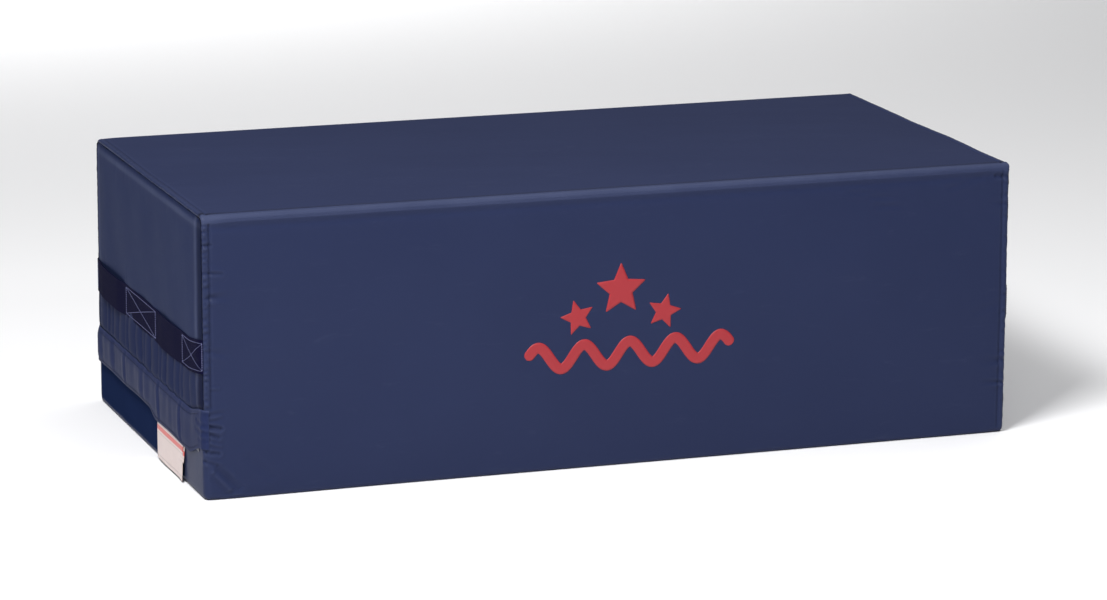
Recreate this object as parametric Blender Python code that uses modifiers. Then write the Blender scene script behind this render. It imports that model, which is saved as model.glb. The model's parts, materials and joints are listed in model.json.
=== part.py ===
"""Soft vaulting block for children's gymnastics: a laminated foam core in a sewn vinyl cover.

Metres, +Z up. Origin: centre of the footprint on the floor. +X runs along the length, -Y is the
printed front, and the end at -X carries the hook-and-loop closure of the cover.
"""
import math

import bmesh
import bpy
from mathutils import Vector

# ---------------------------------------------------------------- driving dimensions
LENGTH = 1.2192            # 48 in, along X, from end seam to end seam
DEPTH = 0.6096             # 24 in, along Y
HEIGHT = 0.4064            # 16 in, along Z
PUFF = 0.0060              # how far the padded end panels stand out past their seams
GAP = 0.0003               # clearance between touching pieces

FABRIC = 0.0012            # vinyl coated cover fabric with its backing
WRAP_END = 0.6040          # half length of the wrapped panel, up to the seams
WRAP_RADIUS = 0.012        # rolled long edges
WELT_RADIUS = 0.0025       # self piping in the end seams
WELT_INSET = 0.0028        # welt centre line in from each outer face

FOAM_LAYERS = ("bottom", "middle", "top")
FOAM_HALF_X = 0.6108
FOAM_HALF_Y = 0.3000
FOAM_LOW, FOAM_HIGH = 0.0048, 0.4016
FOAM_RADIUS = 0.0140       # rounded outer edges, which leave room for the end seams

FLAP_TOP, FLAP_BOTTOM = 0.1155, 0.0610      # closure flap
FLAP_HALF_Y = 0.2985
FLAP_OUT, FLAP_IN = 0.6180, 0.6160          # distances from the middle of the block
PANEL_BOTTOM = 0.1170                       # lower edge of the end panel above the flap
TUCK_OUT = 0.6123                           # outer face of the panel behind the flap
TUCK_TOP = 0.1250
TAPE_LOW, TAPE_HIGH = 0.0660, 0.1070        # hook and loop tapes
TAPE_THICK = 0.0014
CORNER_TUCK_EDGE = -0.1980                  # inner edge of the folded corner tab

WEB_WIDTH = 0.0480                          # nominal two inch webbing
WEB_THICK = 0.0016
WEB_Z = 0.1980
WEB_IN = LENGTH / 2 + PUFF + GAP
LOOP_RISE = 0.0058                          # how far a hand loop stands off at rest
LOOP_RAMP = 0.045
# stations along Y: sewn end, hand loop, sewn middle, hand loop, sewn end
WEB_STATIONS = (-0.2985, -0.2060, -0.0600, 0.1170, 0.2860, 0.2985)
THREAD = 0.0013
THREAD_THICK = 0.0005

TAG_Y = (-0.2030, -0.0590)
TAG_LENGTH = 0.0575
TAG_THICK = 0.0006
TAG_FLARE = math.radians(3.0)
TAG_AXIS_X, TAG_AXIS_Z = -0.6166, 0.0600

FLAP_AXIS_X, FLAP_AXIS_Z = -0.6170, 0.1150

PRINT_THICK = 0.0003
WAVE_X = (-0.145, 0.185)                    # printed wave ribbon
WAVE_Z = 0.1665
WAVE_AMPLITUDE = 0.0165
WAVE_BAND = 0.0160
WAVE_PERIODS = 4.5

# ---------------------------------------------------------------- scene and materials
for leftover in list(bpy.data.objects):
    bpy.data.objects.remove(leftover, do_unlink=True)

parts = bpy.data.collections.new("soft_vaulting_block")
bpy.context.scene.collection.children.link(parts)


def material(name, colour, roughness, metallic=0.0):
    mat = bpy.data.materials.new(name)
    mat.use_nodes = True
    shader = mat.node_tree.nodes["Principled BSDF"]
    shader.inputs["Base Color"].default_value = (*colour, 1.0)
    shader.inputs["Roughness"].default_value = roughness
    shader.inputs["Metallic"].default_value = metallic
    mat.diffuse_color = (*colour, 1.0)
    return mat


COLOURS = {
    "vinyl": ((0.032, 0.047, 0.110), 0.42),
    "vinyl_lining": ((0.022, 0.032, 0.080), 0.50),
    "webbing": ((0.016, 0.017, 0.040), 0.80),
    "thread": ((0.45, 0.47, 0.58), 0.70),
    "tape": ((0.018, 0.022, 0.052), 0.90),
    "foam": ((0.62, 0.66, 0.62), 0.95),
    "label": ((0.72, 0.62, 0.59), 0.75),
    "print": ((0.62, 0.040, 0.048), 0.45),
}


def finish(obj, kind, parent, smooth=True):
    """Gives a piece its own material, its collection and its parent."""
    colour, roughness = COLOURS[kind]
    obj.data.materials.clear()
    obj.data.materials.append(material(obj.name + "_" + kind, colour, roughness))
    for c in list(obj.users_collection):
        c.objects.unlink(obj)
    parts.objects.link(obj)
    obj.parent = parent
    if smooth and obj.type == "MESH":
        obj.data.shade_smooth()
        obj.data.set_sharp_from_angle(angle=math.radians(35))
    return obj


def empty(name, location, parent=None):
    e = bpy.data.objects.new(name, None)
    e.empty_display_size = 0.05
    e.location = location
    e.parent = parent
    parts.objects.link(e)
    return e


frame = empty("block_frame", (0, 0, 0))


def local(point, parent):
    """A world point as a location under an unrotated parent empty."""
    p = Vector(point)
    while parent is not None:
        p -= Vector(parent.location)
        parent = parent.parent
    return p


# ---------------------------------------------------------------- shape helpers
def plate(name, low, high, kind, parent=None, round_edges=None, radius=0.0, segments=3):
    """A cut block of sheet or foam between two corners. round_edges picks edges by direction and place."""
    parent = parent or frame
    low, high = Vector(low), Vector(high)
    size, centre = high - low, (high + low) / 2
    bm = bmesh.new()
    bmesh.ops.create_cube(bm, size=1.0)
    bmesh.ops.scale(bm, vec=size, verts=bm.verts)
    if round_edges:
        chosen = [e for e in bm.edges if round_edges(e)]
        bmesh.ops.bevel(bm, geom=chosen, offset=radius, segments=segments, profile=0.5, affect="EDGES")
    mesh = bpy.data.meshes.new(name)
    bm.to_mesh(mesh)
    bm.free()
    obj = bpy.data.objects.new(name, mesh)
    parts.objects.link(obj)
    obj.location = local(centre, parent)
    return finish(obj, kind, parent)


def along(axis, keep=lambda m: True):
    """Edges that run along one axis and whose midpoint passes keep."""
    def test(e):
        d = e.verts[1].co - e.verts[0].co
        straight = abs(d[axis]) > 0.99 * d.length
        return straight and keep((e.verts[0].co + e.verts[1].co) / 2)
    return test


def outer_edges(side):
    """The upright edges of a layer, and those of its top or base where that is an outside face."""
    def test(e):
        a, b = e.verts[0].co, e.verts[1].co
        upright = abs(a.z - b.z) > 0.01
        return upright or (side != 0 and (a.z * side > 0 and b.z * side > 0))
    return test


def pan(name, face_x, seam_x, half_y, low, high, kind, radius, open_low=False):
    """A padded end panel: a shallow pan of fabric, open towards the foam, with rolled edges."""
    direction = 1 if face_x > 0 else -1
    size = Vector((abs(face_x - seam_x), 2 * half_y, high - low))
    bm = bmesh.new()
    bmesh.ops.create_cube(bm, size=1.0)
    bmesh.ops.scale(bm, vec=size, verts=bm.verts)
    inner = [f for f in bm.faces if f.normal.x * direction < -0.9]
    if open_low:
        inner += [f for f in bm.faces if f.normal.z < -0.9]
    bmesh.ops.delete(bm, geom=inner, context="FACES")
    rim = [e for e in bm.edges if not e.is_boundary and (e.verts[0].co.x + e.verts[1].co.x) * direction > 0.9 * size.x]
    upright = [e for e in bm.edges if not e.is_boundary and e not in rim]
    bmesh.ops.bevel(bm, geom=rim + upright, offset=radius, segments=3, profile=0.5, affect="EDGES")
    mesh = bpy.data.meshes.new(name)
    bm.to_mesh(mesh)
    bm.free()
    obj = bpy.data.objects.new(name, mesh)
    parts.objects.link(obj)
    obj.location = ((face_x + seam_x) / 2, 0, (low + high) / 2)
    wall = obj.modifiers.new("fabric", "SOLIDIFY")
    wall.thickness = FABRIC
    wall.offset = -1.0
    wall.use_even_offset = True
    return finish(obj, kind, frame)


def tube(name, points, radius, kind, parent=None, cyclic=False, sides=2):
    """A round cord along a list of world points."""
    parent = parent or frame
    curve = bpy.data.curves.new(name, "CURVE")
    curve.dimensions = "3D"
    curve.bevel_depth = radius
    curve.bevel_resolution = sides
    curve.use_fill_caps = not cyclic
    curve.resolution_u = 1
    curve.render_resolution_u = 0
    spline = curve.splines.new("POLY")
    spline.points.add(len(points) - 1)
    origin = Vector(points[0])
    for sp, p in zip(spline.points, points):
        sp.co = (*(Vector(p) - origin), 1.0)
    spline.use_cyclic_u = cyclic
    obj = bpy.data.objects.new(name, curve)
    parts.objects.link(obj)
    obj.location = local(origin, parent)
    return finish(obj, kind, parent)


def outline(name, loops, thickness, kind, centre, rotation=(0, 0, 0), parent=None):
    """A flat piece cut to a drawn outline; further loops are holes."""
    parent = parent or frame
    curve = bpy.data.curves.new(name, "CURVE")
    curve.dimensions = "2D"
    curve.fill_mode = "BOTH"
    curve.extrude = thickness / 2
    curve.resolution_u = 1
    curve.render_resolution_u = 0
    for loop in loops:
        spline = curve.splines.new("POLY")
        spline.points.add(len(loop) - 1)
        for sp, (x, y) in zip(spline.points, loop):
            sp.co = (x, y, 0.0, 1.0)
        spline.use_cyclic_u = True
    obj = bpy.data.objects.new(name, curve)
    parts.objects.link(obj)
    obj.location = local(centre, parent)
    obj.rotation_euler = rotation
    return finish(obj, kind, parent)


def smooth_step(t):
    t = min(max(t, 0.0), 1.0)
    return t * t * (3.0 - 2.0 * t)


# ---------------------------------------------------------------- foam core, three glued layers
layer = (FOAM_HIGH - FOAM_LOW - 2 * GAP) / len(FOAM_LAYERS)
for i, which in enumerate(FOAM_LAYERS):
    z0 = FOAM_LOW + i * (layer + GAP)
    side = {"bottom": -1, "middle": 0, "top": 1}[which]
    plate("foam_core_" + which, (-FOAM_HALF_X, -FOAM_HALF_Y, z0), (FOAM_HALF_X, FOAM_HALF_Y, z0 + layer),
          "foam", round_edges=outer_edges(side), radius=FOAM_RADIUS, segments=4)

# ---------------------------------------------------------------- wrapped cover panel: front, top, back and base
bm = bmesh.new()
bmesh.ops.create_cube(bm, size=1.0)
bmesh.ops.scale(bm, vec=(2 * WRAP_END, DEPTH, HEIGHT), verts=bm.verts)
ends = [f for f in bm.faces if abs(f.normal.x) > 0.9]
bmesh.ops.delete(bm, geom=ends, context="FACES_ONLY")
long_edges = [e for e in bm.edges if abs(e.verts[0].co.x - e.verts[1].co.x) > WRAP_END]
bmesh.ops.bevel(bm, geom=long_edges, offset=WRAP_RADIUS, segments=5, profile=0.5, affect="EDGES")
wrap_mesh = bpy.data.meshes.new("cover_wrap")
bm.to_mesh(wrap_mesh)
bm.free()
wrap = bpy.data.objects.new("cover_wrap", wrap_mesh)
parts.objects.link(wrap)
wrap.location = (0, 0, HEIGHT / 2)
wall = wrap.modifiers.new("fabric", "SOLIDIFY")
wall.thickness = FABRIC
wall.offset = -1.0
wall.use_even_offset = True
finish(wrap, "vinyl", frame)

# ---------------------------------------------------------------- end panels and the closure
HALF = LENGTH / 2
panel_y = DEPTH / 2 - GAP                   # the panels meet the seam welts with their rolled rims
panel_top = HEIGHT - GAP
pan("left_end_panel", -HALF - PUFF, -HALF - GAP, panel_y, PANEL_BOTTOM, panel_top, "vinyl", 0.0050, open_low=True)
pan("right_end_panel", HALF + PUFF, HALF + GAP, panel_y, GAP, panel_top, "vinyl", 0.0050)
plate("left_tuck_panel", (-TUCK_OUT, -FLAP_HALF_Y, 0.0006), (-TUCK_OUT + FABRIC, FLAP_HALF_Y, TUCK_TOP), "vinyl_lining",
      round_edges=along(0), radius=0.003)
plate("left_corner_tuck", (-TUCK_OUT - GAP - FABRIC, -DEPTH / 2, 0.0006),
      (-TUCK_OUT - GAP, CORNER_TUCK_EDGE, FLAP_BOTTOM - 0.0020), "vinyl",
      round_edges=along(0, lambda m: m.z < 0), radius=0.010)
plate("tuck_hook_tape", (-TUCK_OUT - GAP - TAPE_THICK, -FLAP_HALF_Y + 0.012, TAPE_LOW),
      (-TUCK_OUT - GAP, FLAP_HALF_Y - 0.012, TAPE_HIGH), "tape")

flap_axis = empty("flap_axis", (FLAP_AXIS_X, 0, FLAP_AXIS_Z), frame)
plate("closure_flap", (-FLAP_OUT, -FLAP_HALF_Y, FLAP_BOTTOM), (-FLAP_IN, FLAP_HALF_Y, FLAP_TOP), "vinyl", flap_axis,
      round_edges=along(0), radius=0.003)
plate("flap_loop_tape", (-FLAP_IN + GAP, -FLAP_HALF_Y + 0.012, TAPE_LOW),
      (-FLAP_IN + GAP + TAPE_THICK, FLAP_HALF_Y - 0.012, TAPE_HIGH), "tape", flap_axis)
for name, z in (("flap_upper_stitch", FLAP_TOP - 0.0040), ("flap_hem_stitch", FLAP_BOTTOM + 0.0030)):
    x = -FLAP_OUT - GAP - 0.0005
    tube(name, [(x, -FLAP_HALF_Y + 0.004, z), (x, 0, z), (x, FLAP_HALF_Y - 0.004, z)], 0.0005, "thread", flap_axis)


# ---------------------------------------------------------------- seam welts
def arc(cy, cz, start, radius, steps=5):
    return [(cy + radius * math.cos(start + k * math.pi / 2 / steps),
             cz + radius * math.sin(start + k * math.pi / 2 / steps)) for k in range(steps + 1)]


welt_y, low_z, high_z, bend = DEPTH / 2 - WELT_INSET, WELT_INSET, HEIGHT - WELT_INSET, 0.012
ring = (arc(welt_y - bend, high_z - bend, 0.0, bend) + arc(-welt_y + bend, high_z - bend, math.pi / 2, bend)
        + arc(-welt_y + bend, low_z + bend, math.pi, bend) + arc(welt_y - bend, low_z + bend, 1.5 * math.pi, bend))
welt_x = HALF - WELT_INSET
tube("right_seam_welt", [(welt_x, y, z) for y, z in ring], WELT_RADIUS, "vinyl", cyclic=True)
legs = ([(welt_y, FLAP_BOTTOM)] + arc(welt_y - bend, high_z - bend, 0.0, bend)
        + arc(-welt_y + bend, high_z - bend, math.pi / 2, bend) + [(-welt_y, FLAP_BOTTOM)])
tube("left_seam_welt", [(-welt_x, y, z) for y, z in legs], WELT_RADIUS, "vinyl")


# ---------------------------------------------------------------- webbing with hand loops, one run on each end
def xbox(width, height, t):
    """Box stitch with both diagonals: the frame's outline and its four triangular openings."""
    a, b = width / 2, height / 2
    d = t / 2 * math.sqrt(1 + (b / a) ** 2)
    e = t / 2 * math.sqrt(1 + (a / b) ** 2)
    x1, y1 = (b - t - d) * a / b, (a - t - e) * b / a
    return [[(-a, -b), (a, -b), (a, b), (-a, b)],
            [(0, d), (x1, b - t), (-x1, b - t)], [(0, -d), (-x1, t - b), (x1, t - b)],
            [(e, 0), (a - t, -y1), (a - t, y1)], [(-e, 0), (t - a, y1), (t - a, -y1)]]


def loop_outline(half, side):
    """Section of a hand loop seen from above: two concentric ramps that rise off the panel."""
    steps = 8
    ys = [-half + LOOP_RAMP * k / steps for k in range(steps + 1)]
    ys += [-y for y in reversed(ys)]
    rise = [LOOP_RISE * smooth_step((half - abs(y)) / LOOP_RAMP) for y in ys]
    inner = [(side * r, y) for r, y in zip(rise, ys)]
    outer = [(side * (r + WEB_THICK), y) for r, y in zip(rise, ys)]
    return inner + outer[::-1]


FACE_ROTATION = (math.pi / 2, 0, math.pi / 2)       # drawn X to world Y, drawn Y to world Z
s = WEB_STATIONS
for end, side in (("left", -1), ("right", 1)):
    spans = (("front_sewn", s[0], s[1]), ("front_loop", s[1], s[2]), ("middle_sewn", s[2], s[3]),
             ("back_loop", s[3], s[4]), ("back_sewn", s[4], s[5]))
    xs = sorted((side * WEB_IN, side * (WEB_IN + WEB_THICK)))
    for span, y0, y1 in spans:
        name = end + "_webbing_" + span
        y0, y1 = y0 + GAP, y1 - GAP
        if span.endswith("loop"):
            holder = empty(end + "_" + span + "_slide", (side * WEB_IN, (y0 + y1) / 2, WEB_Z), frame)
            outline(name, [loop_outline((y1 - y0) / 2, side)], WEB_WIDTH, "webbing",
                    (side * WEB_IN, (y0 + y1) / 2, WEB_Z), parent=holder)
        else:
            plate(name, (xs[0], y0, WEB_Z - WEB_WIDTH / 2), (xs[1], y1, WEB_Z + WEB_WIDTH / 2), "webbing")
    stitch_x = side * (WEB_IN + WEB_THICK + GAP + THREAD_THICK / 2)
    for which, y0, y1 in (("front", s[0] + 0.003, s[1] - 0.001), ("middle", s[2] + 0.001, s[3] - 0.001)):
        outline(end + "_box_stitch_" + which, xbox(y1 - y0, WEB_WIDTH - 0.008, THREAD), THREAD_THICK, "thread",
                (stitch_x, (y0 + y1) / 2, WEB_Z), FACE_ROTATION)
    tack = [(-THREAD / 2, -0.021), (THREAD / 2, -0.021), (THREAD / 2, 0.021), (-THREAD / 2, 0.021)]
    outline(end + "_bar_stitch_back", [tack], THREAD_THICK, "thread", (stitch_x, (s[4] + s[5]) / 2, WEB_Z), FACE_ROTATION)

# ---------------------------------------------------------------- care label, hanging from the flap's hem
tag_axis = empty("tag_axis", local((TAG_AXIS_X, 0, TAG_AXIS_Z), flap_axis), flap_axis)
tag_width = TAG_Y[1] - TAG_Y[0]
bm = bmesh.new()
bmesh.ops.create_cube(bm, size=1.0)
bmesh.ops.scale(bm, vec=(TAG_THICK, tag_width, TAG_LENGTH), verts=bm.verts)
bmesh.ops.translate(bm, vec=(0, 0, -TAG_LENGTH / 2), verts=bm.verts)
tag_mesh = bpy.data.meshes.new("care_label")
bm.to_mesh(tag_mesh)
bm.free()
tag = bpy.data.objects.new("care_label", tag_mesh)
parts.objects.link(tag)
tag.location = (0, (TAG_Y[0] + TAG_Y[1]) / 2, 0)
tag.rotation_euler = (0, TAG_FLARE, 0)
finish(tag, "label", tag_axis)

# ---------------------------------------------------------------- printed film on the front: three stars over a wave ribbon
FRONT_ROTATION = (math.pi / 2, 0, 0)                # drawn Y to world Z
print_y = -DEPTH / 2 - GAP - PRINT_THICK / 2


def star(radius, waist=0.46, points=5):
    ring = []
    for k in range(2 * points):
        r = radius if k % 2 == 0 else radius * waist
        angle = math.pi / 2 + k * math.pi / points
        ring.append((r * math.cos(angle), r * math.sin(angle)))
    return ring


for name, x, z, radius, tilt in (("print_star_centre", 0.006, 0.2600, 0.0400, 0.0),
                                 ("print_star_left", -0.0600, 0.2235, 0.0270, 14.0),
                                 ("print_star_right", 0.0720, 0.2235, 0.0270, -14.0)):
    outline(name, [star(radius)], PRINT_THICK, "print", (x, print_y, z),
            (math.pi / 2, -math.radians(tilt), 0))

steps = 90
centre_x, half_x = (WAVE_X[0] + WAVE_X[1]) / 2, (WAVE_X[1] - WAVE_X[0]) / 2
upper, lower = [], []
for k in range(steps + 1):
    t = k / steps
    u = -half_x + WAVE_BAND / 2 + t * (2 * half_x - WAVE_BAND)
    phase = 2 * math.pi * WAVE_PERIODS * t
    slope = WAVE_AMPLITUDE * 2 * math.pi * WAVE_PERIODS / (2 * half_x - WAVE_BAND) * math.cos(phase)
    n = math.sqrt(1 + slope * slope)
    v = WAVE_AMPLITUDE * math.sin(phase)
    upper.append((u - slope / n * WAVE_BAND / 2, v + WAVE_BAND / 2 / n))
    lower.append((u + slope / n * WAVE_BAND / 2, v - WAVE_BAND / 2 / n))
outline("print_wave", [upper + lower[::-1]], PRINT_THICK, "print", (centre_x, print_y, WAVE_Z), FRONT_ROTATION)

bpy.context.view_layer.update()
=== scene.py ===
"""Looks for the soft vaulting block: vinyl cover, gathered end, webbing, stitches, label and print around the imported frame."""
import json
import math

import bmesh
import bpy
import numpy as np
from mathutils import Matrix, Vector

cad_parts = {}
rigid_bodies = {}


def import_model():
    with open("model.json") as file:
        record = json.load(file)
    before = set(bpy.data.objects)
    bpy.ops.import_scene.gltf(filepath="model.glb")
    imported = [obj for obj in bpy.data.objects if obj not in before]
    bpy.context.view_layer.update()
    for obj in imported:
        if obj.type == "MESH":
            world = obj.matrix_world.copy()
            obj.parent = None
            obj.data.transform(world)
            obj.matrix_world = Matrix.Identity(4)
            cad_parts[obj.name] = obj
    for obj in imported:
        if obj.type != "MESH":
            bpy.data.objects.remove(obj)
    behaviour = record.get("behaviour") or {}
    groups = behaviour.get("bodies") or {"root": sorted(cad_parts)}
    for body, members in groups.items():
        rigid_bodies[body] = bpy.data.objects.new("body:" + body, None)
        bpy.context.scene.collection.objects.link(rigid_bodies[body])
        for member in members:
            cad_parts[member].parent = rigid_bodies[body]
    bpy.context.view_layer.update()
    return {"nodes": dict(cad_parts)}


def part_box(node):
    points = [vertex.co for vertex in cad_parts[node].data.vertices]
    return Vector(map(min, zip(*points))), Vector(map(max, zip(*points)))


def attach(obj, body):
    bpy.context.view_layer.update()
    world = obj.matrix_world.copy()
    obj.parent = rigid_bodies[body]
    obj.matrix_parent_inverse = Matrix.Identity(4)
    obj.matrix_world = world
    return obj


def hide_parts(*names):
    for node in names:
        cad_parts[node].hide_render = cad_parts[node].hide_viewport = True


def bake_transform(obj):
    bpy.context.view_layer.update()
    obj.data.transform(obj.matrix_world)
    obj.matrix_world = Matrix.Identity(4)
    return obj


for leftover in list(bpy.data.objects):
    bpy.data.objects.remove(leftover, do_unlink=True)

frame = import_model()

# ------------------------------------------------------------------ sizes, most read from the frame
W0, W1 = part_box("cover_wrap")
P0, P1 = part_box("left_end_panel")
R0, R1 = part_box("right_end_panel")
F0, F1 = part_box("closure_flap")
T0, T1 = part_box("left_tuck_panel")
S0, S1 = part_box("left_seam_welt")
HY, HZ = W1.y, W1.z                      # 0.3048, 0.4064
FACE = -P0.x                             # 0.6156, the puffed end faces
X_EDGE = -S0.x + 0.0029                  # 0.6122, the rolled edge of the wrapped panel at a seam
ROLL = 0.0034                            # radius of that roll
SEAM = X_EDGE - ROLL                     # where the roll starts
Y_OUT, Z_OUT = HY - 0.0028, HZ - 0.0036  # the end panels meet the seam here, a little set in
FLAP_TOP, FLAP_LOW = F1.z, F0.z          # 0.1155, 0.0610
WEB0, WEB1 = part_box("left_webbing_front_sewn")
WEB_Z, WEB_W, WEB_T = (WEB0.z + WEB1.z) / 2, WEB1.z - WEB0.z, WEB1.x - WEB0.x
TOP_R, LOW_R = 0.0066, 0.0055            # rolled long edges, top and bottom

PI = math.pi


def smooth(t):
    t = np.clip(t, 0.0, 1.0)
    return t * t * (3 - 2 * t)


class Waves:
    """A smooth seeded field: a sum of plane waves of about one wavelength, with unit spread."""

    def __init__(self, seed, wavelength, n=12, spread=0.45, stretch=(1.0, 1.0)):
        rng = np.random.default_rng(seed)
        k = 2 * PI / wavelength * (1 + spread * (rng.random(n) * 2 - 1))
        th = rng.random(n) * 2 * PI
        self.kx, self.ky = k * np.cos(th) * stretch[0], k * np.sin(th) * stretch[1]
        self.ph = rng.random(n) * 2 * PI
        self.a = 1 / math.sqrt(n / 2)

    def __call__(self, x, y):
        out = np.zeros(np.broadcast(x, y).shape)
        for kx, ky, ph in zip(self.kx, self.ky, self.ph):
            out += np.sin(kx * x + ky * y + ph)
        return out * self.a


class Puckers:
    """Short folds that run away from a seam. s is the place along the seam and t the distance from it."""

    def __init__(self, seed, lo, hi, step, depth, length, width, long_share=0.14):
        rng = np.random.default_rng(seed)
        self.folds = []
        s = lo
        while s < hi:
            s += step * (0.55 + 0.9 * rng.random())
            long = rng.random() < long_share
            a = -depth * (0.45 + 0.75 * rng.random()) * (1.35 if long else 1.0)
            reach = length * (0.6 + 0.8 * rng.random()) * (2.4 if long else 1.0)
            w = width * (0.75 + 0.5 * rng.random()) * (1.2 if long else 1.0)
            slant = rng.normal(0, 0.13)
            self.folds.append((s, a, reach, w, slant))

    def __call__(self, s, t):
        s, t = np.broadcast_arrays(s, t)
        out = np.zeros(s.shape)
        near = (t > -0.001) & (t < 0.11)
        if not near.any():
            return out
        ss, tt = s[near], t[near]
        acc = np.zeros(ss.shape)
        for s0, a, reach, w, slant in self.folds:
            wide = w * (1 + 0.7 * tt / reach)
            d = (ss - s0 - slant * tt) / wide
            hit = np.abs(d) < 4
            fade = np.exp(-((tt[hit] / reach) ** 2))
            # a valley with a softer ridge on each side
            acc[hit] += a * fade * (np.exp(-d[hit] ** 2) - 0.42 * np.exp(-((np.abs(d[hit]) - 1.75) / 0.95) ** 2))
        out[near] = acc
        return out


def creases(S, Z, marks):
    """Single folds drawn from point to point: (s0, z0, s1, z1, depth, width)."""
    out = np.zeros(np.broadcast(S, Z).shape)
    for s0, z0, s1, z1, depth, width in marks:
        ds, dz = s1 - s0, z1 - z0
        ll = ds * ds + dz * dz
        t = ((S - s0) * ds + (Z - z0) * dz) / ll
        tc = np.clip(t, 0, 1)
        dist = np.hypot(S - (s0 + tc * ds), Z - (z0 + tc * dz)) / width
        ends = np.where((t < 0) | (t > 1), 1.0, 0.55 + 0.45 * np.sin(PI * tc))
        out += depth * ends * (np.exp(-dist ** 2) - 0.35 * np.exp(-((dist - 1.8) / 0.9) ** 2))
    return out


# ------------------------------------------------------------------ mesh helpers
def mesh_object(name, verts, faces, uv=None, smooth_shade=True):
    """verts (n,3), faces as an (m,4) array or a list of tuples, uv one pair a vertex."""
    me = bpy.data.meshes.new(name)
    me.from_pydata(np.asarray(verts, float).tolist(), [], [tuple(int(i) for i in f) for f in faces])
    if uv is not None:
        layer = me.uv_layers.new(name="UVMap")
        loops = np.zeros(len(me.loops), np.int32)
        me.loops.foreach_get("vertex_index", loops)
        layer.data.foreach_set("uv", np.asarray(uv, np.float32)[loops].ravel())
    me.validate()
    me.update()
    if smooth_shade:
        me.shade_smooth()
    ob = bpy.data.objects.new(name, me)
    bpy.context.scene.collection.objects.link(ob)
    return ob


def grid_faces(n, m, close_v=False, flip=False, base=0):
    """Quads of an n by m grid, vertex i * m + j."""
    i = np.arange(n - 1)[:, None]
    j = np.arange(m if close_v else m - 1)[None, :]
    jn = (j + 1) % m
    a, b, c, d = i * m + j, (i + 1) * m + j, (i + 1) * m + jn, i * m + jn
    f = np.stack(np.broadcast_arrays(a, b, c, d), -1).reshape(-1, 4) + base
    return f[:, ::-1] if flip else f


def grid_object(name, P, UV, flip=False):
    n, m = P.shape[:2]
    return mesh_object(name, P.reshape(-1, 3), grid_faces(n, m, flip=flip), UV.reshape(-1, 2))


def swept(name, centres, tangents, ups, section, uv_scale=1.0, cap=True):
    """Sweeps a closed section, (k,2) or (n,k,2), along centres. Section x goes along side = tangent x up, y along up."""
    C, T, U = (np.asarray(v, float) for v in (centres, tangents, ups))
    T = T / np.linalg.norm(T, axis=1, keepdims=True)
    Sd = np.cross(T, U)
    Sd /= np.linalg.norm(Sd, axis=1, keepdims=True)
    Un = np.cross(Sd, T)
    sec = np.asarray(section, float)
    if sec.ndim == 2:
        sec = np.broadcast_to(sec, (len(C),) + sec.shape)
    P = C[:, None] + sec[:, :, :1] * Sd[:, None] + sec[:, :, 1:] * Un[:, None]
    n, k = P.shape[:2]
    run = np.concatenate([[0], np.cumsum(np.linalg.norm(np.diff(C, axis=0), axis=1))])
    around = np.concatenate([[0], np.cumsum(np.linalg.norm(np.diff(sec[0], axis=0), axis=1))])
    UV = np.stack(np.broadcast_arrays(run[:, None], around[None, :]), -1).reshape(-1, 2) * uv_scale
    faces = grid_faces(n, k, close_v=True).tolist()
    if cap:
        faces.append(list(range(k)))
        faces.append([(n - 1) * k + i for i in reversed(range(k))])
    ob = mesh_object(name, P.reshape(-1, 3), faces, UV)
    me = ob.data
    bm = bmesh.new()
    bm.from_mesh(me)
    bmesh.ops.recalc_face_normals(bm, faces=bm.faces)
    bm.to_mesh(me)
    bm.free()
    return ob


def circle(r, k=8, squash=1.0):
    a = np.arange(k) / k * 2 * PI
    return np.stack([r * np.cos(a), r * squash * np.sin(a)], 1)


# ------------------------------------------------------------------ materials
def srgb(r, g, b):
    def lin(c):
        c /= 255.0
        return c / 12.92 if c <= 0.04045 else ((c + 0.055) / 1.055) ** 2.4
    return (lin(r), lin(g), lin(b), 1.0)


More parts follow.
